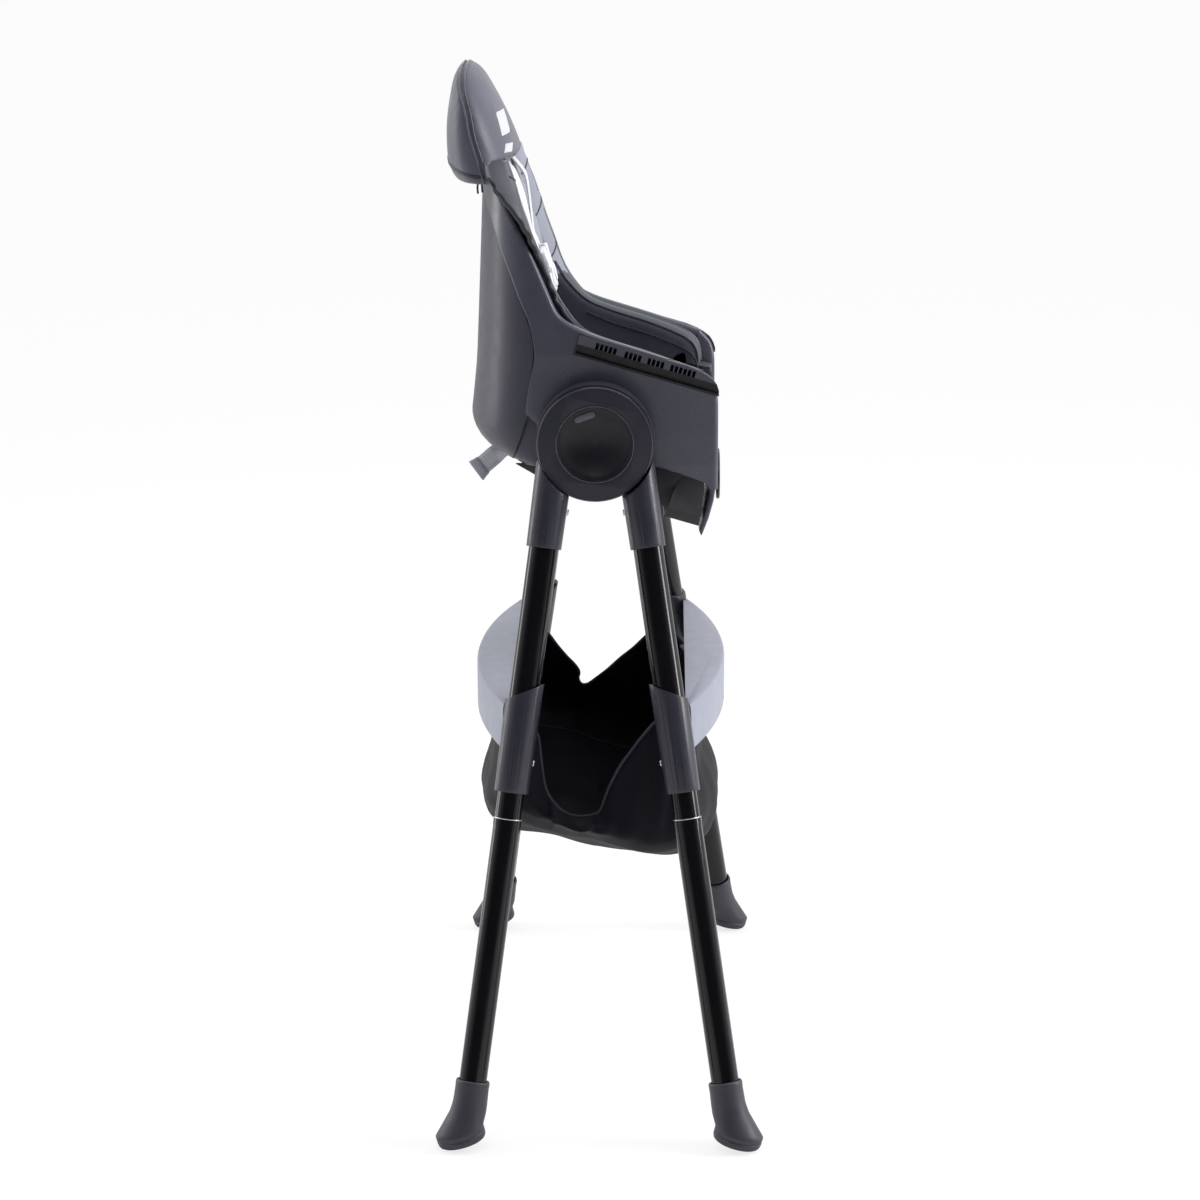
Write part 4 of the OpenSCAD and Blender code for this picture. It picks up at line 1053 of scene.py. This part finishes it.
def seatPadRows():
    rows = []
    for k in range(41):
        y = cushion["front"] + cushion["length"] * k / 40
        end = min(1.0, min(y - cushion["front"], cushion["front"] + cushion["length"] - y) / 10)
        row = []
        for j in range(41):
            x = -cushion["halfWidth"] + 2 * cushion["halfWidth"] * j / 40
            edge = min(1.0, (cushion["halfWidth"] - abs(x)) / 12)
            gap = min(abs(x - s) for s in cushionSeams)
            puff = cushion["puff"] * (min(edge, 1) * max(end, 0)) ** 0.35 + 1.6 * min(1, gap / 12) ** 0.5
            row.append((x * (1 - 0.012 * (1 - end)), y, cushion["base"] + puff))
        row += [(101, y, -23), (50, y, -23.1), (0, y, -23.1), (-50, y, -23.1), (-101, y, -23)]
        rows.append(row)
    return rows

def heldCushion(p):
    return 1.0 if p.z < -20 else max(0.0, 1 - min(abs(p.x - s) for s in cushionSeams) / 4)

seatPad = gridPiece("seatCushion", seatPadRows(), finishes["cover"], None, loop=True, ends=True)
inflate(seatPad, heldCushion, **cushionPadding)
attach(seatPad, "seat")
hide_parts("seat_pad")
print("stage: cover done")

# Straps are flat rings swept along a path, with a slight waver in width.
strap = {"wide": 22, "narrow": 20, "thick": 1.8, "tailTwist": -64}

def strapRows(path, width, turn=None, side=Vector((1, 0, 0))):
    line = catmull(path, 8)
    rows = []
    n = len(line)
    for i, p in enumerate(line):
        t = (line[min(n - 1, i + 1)] - line[max(0, i - 1)]).normalized()
        across = (side - t * side.dot(t)).normalized()
        if turn:
            across = Matrix.Rotation(math.radians(turn(i / (n - 1))), 3, t) @ across
        up = t.cross(across)
        w, h = width / 2 * (1 + 0.012 * math.sin(i * 1.7)), strap["thick"] / 2
        lower = [(-w, -h * 0.5), (-w * 0.96, -h), (-w * 0.5, -h * 1.05), (0, -h), (w * 0.5, -h * 1.05),
                 (w * 0.96, -h), (w, -h * 0.5)]
        ring = lower + [(-a, -b) for a, b in lower]
        rows.append([p + across * a + up * b for a, b in ring])
    return rows

def strapPiece(name, path, width, finish, node, turn=None):
    return gridPiece(name, strapRows(path, width, turn), finishes[finish], "seat", (node,), loop=True, ends=True,
                     sharp=60)

nearStrap = [(-25, 91, 258), (-26, 86.5, 250), (-26, 82.5, 243), (-26, 75.5, 225), (-26, 69.5, 205),
             (-26, 65, 188), (-24, 59, 168), (-20, 54.5, 156)]
farStrap = [(25, 91, 260), (26, 83, 251), (26, 73, 237), (26, 69.5, 218), (26, 67.5, 200), (25, 65.5, 184),
            (23, 60.5, 168), (20, 54.5, 156)]
strapPiece("shoulderStrapLeft", nearStrap, strap["wide"], "white", "shoulder_strap_left",
           lambda t: 13 * math.sin(math.pi * min(1.0, t * 1.5)))
strapPiece("shoulderStrapRight", farStrap, strap["wide"], "white", "shoulder_strap_right")

# A rounded block: rings of a superellipse, smaller at both faces.
def pebble(bm, centre, size, tilt, turn, power, edge):
    w, h, t = (v / 2 for v in size)
    spin = Matrix.Rotation(math.radians(tilt), 3, "X") @ Matrix.Rotation(math.radians(turn), 3, "Y")
    rows = []
    levels = [(-t, edge), (-t + edge * 0.3, edge * 0.3), (-t + edge, 0),
              (t - edge, 0), (t - edge * 0.3, edge * 0.3), (t, edge)]
    for level, shrink in levels:
        row = []
        for a in turns(32):
            x, z = (w - shrink) * squarer(math.cos(a), power), (h - shrink) * squarer(math.sin(a), power)
            row.append(Vector(centre) + spin @ Vector((x, level, z)))
        rows.append(row)
    gridInto(bm, rows, loop=True, ends=True)

# Buckle: body and button, then prongs, slots and grip ribs on both sides, and the crotch loop.
def buckle():
    bm = bmesh.new()
    lean = -15
    pebble(bm, (0, 48.5, 144), (31, 36, 9), lean, 0, 0.5, 2.4)
    pebble(bm, (0, 43.6, 142.7), (18, 18, 3.4), lean, 0, 1.0, 1.2)
    for s in (-1, 1):
        pebble(bm, (s * 17, 51.5, 156), (21, 17, 6), lean, s * 24, 0.4, 1.4)
        pebble(bm, (s * 20.5, 53.6, 164), (25, 8, 5), lean, s * 8, 0.35, 1.2)
        pebble(bm, (s * 22, 46.6, 135), (24, 17, 6), lean, s * -14, 0.4, 1.4)
        pebble(bm, (s * 33, 46.9, 131), (8, 25, 5), lean, s * -6, 0.35, 1.2)
        for k in range(3):
            pebble(bm, (s * (15 + 4 * k), 43.4, 137 - k), (1.4, 10, 1.2), lean, 0, 0.5, 0.3)
    pebble(bm, (0, 44.5, 126.5), (26, 8, 6), lean, 0, 0.35, 1.4)
    return fromBmesh(bm, "harnessBuckle", finishes["buckle"], "seat", ("harness_buckle",))

buckle()
waist = [(38, 48.8, 129), (52, 47.6, 127), (66, 46.5, 126), (83, 45.3, 126)]

def waistStraps():
    bm = bmesh.new()
    for s in (-1, 1):
        rows = strapRows([(s * x, y, z) for x, y, z in waist], strap["narrow"], None, Vector((0, 0.24, 0.97)))
        gridInto(bm, rows, loop=True, ends=True)
    return fromBmesh(bm, "waistStraps", finishes["white"], "seat", ("waist_straps",), 60)

waistStraps()
crotch = [(0, 44.5, 124), (0, 41, 108), (0, 37, 82), (0, 31, 52), (0, 22, 24), (0, 10, 2), (0, -6, -5.2),
          (0, -20, -6.5)]
strapPiece("crotchStrap", crotch, strap["wide"], "white", "crotch_strap")

# The tail twists on edge as it leaves the shell, and ends in a clip.
tailPath = [(0, 70, -36.5), (0, 86, -37), (0, 96, -39), (0, 104, -44), (0, 111, -50), (0, 118, -56)]
strapPiece("strapTail", tailPath, strap["narrow"], "tail", "strap_tail",
           lambda t: strap["tailTwist"] * min(1.0, t * 1.6))

def tailEnd():
    bm = bmesh.new()
    t = Vector((0, 7, -6)).normalized()
    across = Matrix.Rotation(math.radians(strap["tailTwist"]), 3, t) @ Vector((1, 0, 0))
    up = t.cross(across)
    rows = []
    for d, w, h in ((0, 10.2, 1.6), (0.6, 10.8, 2.3), (3, 11, 2.7), (7, 11.8, 2.8), (9.4, 12.6, 2.5),
                    (10, 12.2, 1.8)):
        rows.append([Vector((0, 117, -55.2)) + t * d + across * w * squarer(math.cos(a), 0.35)
                     + up * h * squarer(math.sin(a), 0.6) for a in turns(28)])
    gridInto(bm, rows, loop=True, ends=True)
    return fromBmesh(bm, "tailEndClip", finishes["adjuster"], "seat", ("tail_adjuster",))

tailEnd()

# Short elastic loops that hold the head cover's lower edge.
loops = [[(-81, 114, 242), (-81, 114.6, 236), (-81, 114.2, 230)],
         [(-79, 110, 242), (-79.5, 110.4, 237), (-79, 110, 231)]]
tubePiece("coverElastics", [catmull(p, 5) for p in loops + [mirrored(q) for q in loops]], 1.0, finishes["trim"],
          "seat", 8)
print("stage: harness done")

# Angles in degrees, the rest in mm. A row of legs is 1 at the rear and -1 at the front.
leg = {"lean": {1: 7.5, -1: 8.3}, "splay": 13.8, "span": 147, "setBack": 36, "hubHeight": 665}
boot = {"halfWidth": 20, "halfLength": 24, "forward": 2, "toeUp": 15, "height": 60}
rowWords = ((1, "rear"), (-1, "front"))
sideWords = ((-1, "left"), (1, "right"))

def legDir(side, row):
    a, b = math.radians(leg["lean"][row]), math.radians(leg["splay"])
    return Vector((side * math.cos(a) * math.sin(b), row * math.sin(a), -math.cos(a) * math.cos(b)))

def legPoint(side, row, d):
    return Vector((side * leg["span"], row * leg["setBack"], 0)) + legDir(side, row) * d

# The legs fold on to their toes, so the middle of a sole hangs a little above the floor.
def soleAt(row):
    lift = (boot["halfLength"] * 0.88 + boot["forward"]) * math.sin(math.radians(boot["toeUp"]))
    slope = math.cos(math.radians(leg["lean"][row])) * math.cos(math.radians(leg["splay"]))
    return (leg["hubHeight"] - lift) / slope

def bootRows(side, row):
    axis = legDir(side, row)
    u = (Vector((1, 0, 0)) - axis * axis.x).normalized()
    v = axis.cross(u)
    if v.y < 0:
        v = -v
    d0 = soleAt(row) - boot["height"]
    foot = legPoint(side, row, soleAt(row))
    turn = Matrix.Rotation(math.radians(row * -boot["toeUp"]), 3, "X")
    halfWidth, halfLength, forward = boot["halfWidth"], boot["halfLength"], row * boot["forward"]
    def circle(d, r):
        c = legPoint(side, row, d0 + d)
        return [c + (u * math.cos(a) + v * math.sin(a)) * r for a in turns(40)]
    def sole(h, k):
        return [foot + turn @ Vector((halfWidth * k * math.cos(a), forward + halfLength * k * math.sin(a), h))
                for a in turns(40)]
    rows = [circle(d, r) for d, r in ((26, 13.7), (3, 13.7), (0.4, 14.2), (0, 15.1), (0.6, 16.1), (2.5, 16.6),
                                      (5, 16.4), (8, 16.3))]
    first, top, low = rows[-1], circle(28, 16.9), sole(12.5, 1.0)
    for k in range(1, 14):
        t = k / 14
        a = [p.lerp(q, min(1, t / 0.5)) for p, q in zip(first, top)]
        b = [p.lerp(q, max(0.0, (t - 0.35) / 0.65) ** 1.25) for p, q in zip(a, low)] if t > 0.35 else a
        rows.append(b)
    return rows + [low] + [sole(h, k) for h, k in ((9, 1.0), (8.4, 0.975), (7.6, 0.975), (7, 1.0), (3.5, 0.985),
                                                   (1.2, 0.94), (0, 0.87), (0.0, 0.62), (0.6, 0.58), (0.6, 0.2))]

for side, s in sideWords:
    for row, r in rowWords:
        gridPiece(r + s.capitalize() + "Boot", bootRows(side, row), finishes["boot"], r + "_frame",
                  (f"{r}_boot_{s}",), loop=True, ends=True, sharp=45)
        softened(f"{r}_socket_{s}", finishes["joint"], 0.9)
        softened(f"{r}_sleeve_{s}", finishes["joint"], 0.7)
        dress([f"{r}_upper_tube_{s}", f"{r}_stub_{s}", f"{r}_lower_tube_{s}"], finishes["tube"])
for _, s in sideWords:
    softened(f"hub_ring_{s}", finishes["hubRing"], 1.0, 3)
    softened(f"hub_dish_{s}", finishes["dish"], 0.35)
    softened(f"release_button_{s}", finishes["button"], 0.8, 3)
for _, r in rowWords:
    softened(f"{r}_brace", finishes["brace"], 1.0)
dress(["hub_axle_left", "hub_axle_right"], finishes["steel"])
dress(["tray_rail_left", "tray_rail_right"], finishes["rail"])
dress(["seat_pan"], finishes["black"])
softened("front_apron", finishes["shell"], 2.0, 3)
softened("footrest_box", finishes["black"], 0.8)
softened("footrest_boss", finishes["black"], 1.2, 3)
softened("under_rib", finishes["black"], 0.8)

# Pan-head screws: a domed head as (radius, height), then a cross recess as (share of its arms, height).
screwHead = {"dome": ((3.0, 0.0), (3.0, 0.5), (2.8, 1.0), (2.3, 1.4), (1.5, 1.6), (1.1, 1.62)),
             "recess": ((1.0, 1.6), (0.8, 0.8)), "arm": 1.0, "waist": 0.42, "turn": 0.6, "lift": 0.1}

def screwUnit():
    star = [screwHead["arm"] if k % 8 in (0, 1, 7) else screwHead["waist"] for k in range(32)]
    rings = [([r] * 32, h) for r, h in screwHead["dome"]]
    rings += [([s * share for s in star], h) for share, h in screwHead["recess"]]
    return unitPiece("screwUnit", [[(r * math.cos(a), r * math.sin(a), h) for r, a in zip(ring, turns(32))]
                                   for ring, h in rings])

# Glossy lips of the hub dishes and ring covers, as (distance out from the middle, radius).
lips = {"rings": ((168.1, 37.3), (167.5, 55.2)), "thick": 0.75}

def hubLips():
    paths = []
    for side in (-1, 1):
        for x, r in lips["rings"]:
            paths.append([Vector((side * x, r * math.cos(a), r * math.sin(a))) for a in turns(96, 1)])
    return tubePiece("hubLips", paths, lips["thick"], finishes["lip"], "rear_frame", 8)

hubLips()

# A rolled edge where each lower tube meets its stub, made as a bright steel ring: a painted glint on the black
# tube's edge.
glintRing = {"reach": 13.6, "radius": 13.5, "thick": 0.5}
for row, r in rowWords:
    paths = []
    for side, s in sideWords:
        axis = legDir(side, row)
        u = axis.orthogonal().normalized()
        v = axis.cross(u)
        tube = [inMm(p.co) - legPoint(side, row, 0) for p in parts[f"{r}_lower_tube_{s}"].data.vertices]
        start = min(p.dot(axis) for p in tube if p.cross(axis).length > glintRing["reach"])
        paths.append([legPoint(side, row, start) + (u * math.cos(a) + v * math.sin(a)) * glintRing["radius"]
                      for a in turns(64, 1)])
    tubePiece(r + "TubeEdges", paths, glintRing["thick"], finishes["steel"], r + "_frame", 8)

screw = screwUnit()
screwSpots = ((68, 17.4 + 37 / 83), (313, 16.45 + 1.55 * 30 / 109))    # along the leg, radius of the part there
for row, r in rowWords:
    points, aims = [], []
    for side, _ in sideWords:
        fore = Matrix.Rotation(math.radians(row * leg["lean"][row]), 3, "X")
        out = fore @ Matrix.Rotation(math.radians(-side * leg["splay"]), 3, "Y") @ Vector((0, -row, 0))
        for d, radius in screwSpots:
            points.append(legPoint(side, row, d) + out * (radius + screwHead["lift"]))
            aims.append(out)
    piece = runNodes(r + "Screws", points, aims, trees["points"],
                     {"Unit": screw, "Finish": finishes["steel"], "Turn": screwHead["turn"]}, r + "_frame",
                     edges=False)
    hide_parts(r + "_screws")
print("stage: legs done")

# Outline of the cloth at its lowest, then the hems of its near and far ends, as (depth, height).
basketLow = [(108, -294), (104, -306), (105, -322), (109, -340), (112, -360), (118.7, -382), (120.8, -400),
             (115.6, -420), (104, -434), (91, -442), (78, -446), (42, -452), (0, -461), (-31, -467), (-63, -469),
             (-84, -466), (-100, -458), (-112, -444), (-119, -430), (-122.8, -410), (-118.8, -386),
             (-106.5, -356), (-105, -330), (-104, -308), (-106, -294)]
nearHem = [(88, -292), (76, -290), (66, -287), (57, -286), (53.7, -312), (50.5, -337), (45.5, -351),
           (37.2, -361.7), (27.1, -369.5), (17, -372.3), (6.9, -370.8), (-3.2, -366.9), (-8.3, -354.5),
           (-13.4, -340.4), (-23.5, -319.3), (-33.6, -305.2), (-47, -286), (-60.4, -272), (-70, -274),
           (-80, -284), (-88, -292)]
farHem = [(88, -292), (76, -286), (66, -281), (59.2, -281), (49.8, -292.7), (38.6, -306.4), (29.2, -316.2),
          (25.5, -322.8), (26.6, -329.9), (23.6, -335.8), (18, -336.5), (12.3, -333.8), (0.9, -325.1),
          (-14.2, -312.1), (-33.1, -296.5), (-48.2, -282.8), (-60.4, -274), (-70, -274), (-80, -284), (-88, -292)]
sling = {"rim": -294.0, "half": 176.0, "end": 182, "thick": 1.3, "hem": 1.5, "seam": 0.9, "endRows": 22}

# The fabric narrows and rises from the middle to the ends; the rear rises more.
def basketSection(p, x):
    k = min(1.0, abs(x) / sling["end"])
    reach = (122 - 27 * k * k) / 122
    share = 0.88 * lookup(k, [(0, 1), (0.5, 0.94), (0.82, 0.81), (1, 0.7)])
    share *= 1 - 0.14 * k * k * (p.x + 65) / 130
    return Vector((p.x * reach, sling["rim"] + (p.y - sling["rim"]) * share, 0))

# The near hem laps over in a small pointed fold below its lowest stretch.
def lappedHem(y, below):
    reach = lookup(y, [(-4, 0.1), (0, 2), (3.6, 7), (17, 9), (32.3, 24), (40.6, 13), (46, 0.1)])
    if reach < 0.2 or below < 0:
        return 0.0
    share = below / reach if below < reach else max(0.0, 1 - (below - reach) / 3.5)
    return 6.5 * share * min(1.0, reach / 8)

def basketEnd(side, line):
    low = [basketSection(p, sling["end"]) for p in resample(catmull(flat(basketLow), 6), 121)]
    hem = resample(catmull(flat(line), 6), 121)
    rows = []
    for k in range(sling["endRows"]):
        t = k / sling["endRows"]
        row = []
        for a, b in zip(hem, low):
            p = a.lerp(b, t ** 0.8)
            mid = math.exp(-((p.x - 10) / 40) ** 2)
            bulge = 8 * math.sin(math.pi * t) * (0.4 + mid) - 7 * mid * (1 - t) ** 3
            fold = 2.2 * math.sin(p.x * 0.11 + 3 * t) * math.sin(math.pi * min(1, t * 1.4))
            fold += 1.1 * math.sin(p.x * 0.23 - 5 * t)
            turned = lappedHem(p.x, a.y - p.y) if side < 0 else 0.0
            row.append((side * (sling["half"] + 6 + bulge * 0.8 + fold - 6 * t ** 6 + turned), p.x, p.y))
        rows.append(row)
    return rows

def basketMiddle():
    low = resample(catmull(flat(basketLow), 6), 121)
    rows = []
    for k in range(1, 36):
        x = -sling["half"] + 2 * sling["half"] * k / 36
        row = []
        for p in low:
            deep = max(0.0, min(1.0, (-300 - p.y) / 60))
            q = basketSection(p, x)
            wob = 1.6 * math.sin(x * 0.05 + p.x * 0.06) + 1.0 * math.sin(x * 0.11 - p.y * 0.07)
            row.append((x, q.x + wob * deep * (0.7 if p.x > 0 else -0.7), q.y - wob * 0.8 * deep))
        rows.append(row)
    return rows

def cloth(name, rows, thick, material):
    bm = bmesh.new()
    gridInto(bm, rows)
    obj = fromBmesh(bm, name, material, None, (), 70, False)
    solid = obj.modifiers.new("thick", "SOLIDIFY")
    solid.thickness = thick * 0.001
    solid.offset = 0
    evaluated(obj)
    bm = bmesh.new()
    bm.from_mesh(obj.data)
    bmesh.ops.recalc_face_normals(bm, faces=bm.faces)
    bm.to_mesh(obj.data)
    bm.free()
    smoothFaces(obj.data)
    return obj

basketGrid = basketEnd(-1, nearHem) + basketMiddle() + basketEnd(1, farHem)[::-1]
basket = cloth("storageBasket", basketGrid, sling["thick"], finishes["basket"])

def runLength(line):
    return sum((Vector(q) - Vector(p)).length for p, q in zip(line, line[1:])) / 1000

# The cut's width and length are the fabric's longest lines along and across.
basketCut = tuple(max(runLength(line) for line in lines) for lines in (list(zip(*basketGrid)), basketGrid))
# Hems and seams take the lighter hem cloth, which paints their highlight.
hems = tubePiece("basketHems", [basketGrid[0], basketGrid[-1]], sling["hem"], finishes["hem"], None, 8)
seamLines = [[Vector(p) + Vector((0, 0, 0.6)) for p in basketGrid[k]]
             for k in (sling["endRows"], -sling["endRows"] - 1)]
seams = tubePiece("basketSeams", seamLines, sling["seam"], finishes["hem"], None, 6)
for piece in (basket, hems, seams):
    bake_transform(piece)
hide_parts("basket")

# White room: a world that is darker behind the camera, three lamps and a bright floor.
bpy.context.scene.view_settings.view_transform = "Standard"

room = {"world": {"From Min": -0.8, "From Max": 0.2, "To Min": 0.08, "To Max": 1.05},
        "floorColour": (0.9, 0.9, 0.9, 1), "floorRough": 0.9, "glow": 1.08, "glowShare": 0.72}

def studioWorld():
    world = bpy.data.worlds.new("studioWorld")
    bpy.context.scene.world = world
    world.use_nodes = True
    tree = world.node_tree
    back = tree.nodes["Background"]
    coords = tree.nodes.new("ShaderNodeTexCoord")
    split = tree.nodes.new("ShaderNodeSeparateXYZ")
    tree.links.new(coords.outputs["Generated"], split.inputs[0])
    depth = tree.nodes.new("ShaderNodeMapRange")
    depth.interpolation_type = "SMOOTHSTEP"
    for label, value in room["world"].items():
        depth.inputs[label].default_value = value
    tree.links.new(split.outputs["X"], depth.inputs["Value"])
    path = tree.nodes.new("ShaderNodeLightPath")
    pick = tree.nodes.new("ShaderNodeMix")
    pick.data_type = "FLOAT"
    tree.links.new(path.outputs["Is Camera Ray"], pick.inputs[0])
    tree.links.new(depth.outputs[0], pick.inputs[2])
    pick.inputs[3].default_value = 1.0
    tree.links.new(pick.outputs[0], back.inputs["Strength"])
    back.inputs["Color"].default_value = (1, 1, 1, 1)

def areaLamp(name, place, aim, size, power):
    lamp = bpy.data.lights.new(name, "AREA")
    lamp.shape = "RECTANGLE"
    lamp.size, lamp.size_y = size
    lamp.energy = power
    obj = bpy.data.objects.new(name, lamp)
    bpy.context.scene.collection.objects.link(obj)
    obj.location = place
    obj.rotation_euler = (Vector(aim) - Vector(place)).to_track_quat("-Z", "Y").to_euler()

# Each lamp's place, the point it faces, its size in metres and its power in watts.
lamps = {
    "topLamp": ((-1.0, 0.1, 3.0), (0, 0, 0.6), (1.2, 1.2), 13),
    "rearLamp": ((0.7, 2.2, 1.0), (0, 0.05, 0.6), (0.6, 2.4), 19),
    "frontLamp": ((-0.15, -2.3, 1.5), (0, 0, 0.7), (0.5, 2.2), 46),
}
studioWorld()
for name, lamp in lamps.items():
    areaLamp(name, *lamp)

def studioFloor():
    mesh = bpy.data.meshes.new("floor")
    mesh.from_pydata([(-8, -8, 0), (30, -8, 0), (30, 8, 0), (-8, 8, 0)], [], [(0, 1, 2, 3)])
    floor = bpy.data.objects.new("floor", mesh)
    bpy.context.scene.collection.objects.link(floor)
    mat = bpy.data.materials.new("floorPaint")
    mat.use_nodes = True
    tree = mat.node_tree
    shader = tree.nodes["Principled BSDF"]
    shader.inputs["Base Color"].default_value = room["floorColour"]
    shader.inputs["Roughness"].default_value = room["floorRough"]
    glow = tree.nodes.new("ShaderNodeEmission")
    glow.inputs["Strength"].default_value = room["glow"]
    mix = tree.nodes.new("ShaderNodeMixShader")
    path = tree.nodes.new("ShaderNodeLightPath")
    most = tree.nodes.new("ShaderNodeMath")
    most.operation = "MULTIPLY"
    most.inputs[1].default_value = room["glowShare"]
    tree.links.new(path.outputs["Is Camera Ray"], most.inputs[0])
    tree.links.new(most.outputs[0], mix.inputs[0])
    tree.links.new(shader.outputs[0], mix.inputs[1])
    tree.links.new(glow.outputs[0], mix.inputs[2])
    tree.links.new(mix.outputs[0], tree.nodes["Material Output"].inputs["Surface"])
    mesh.materials.append(mat)

studioFloor()
print("stage: studio done")
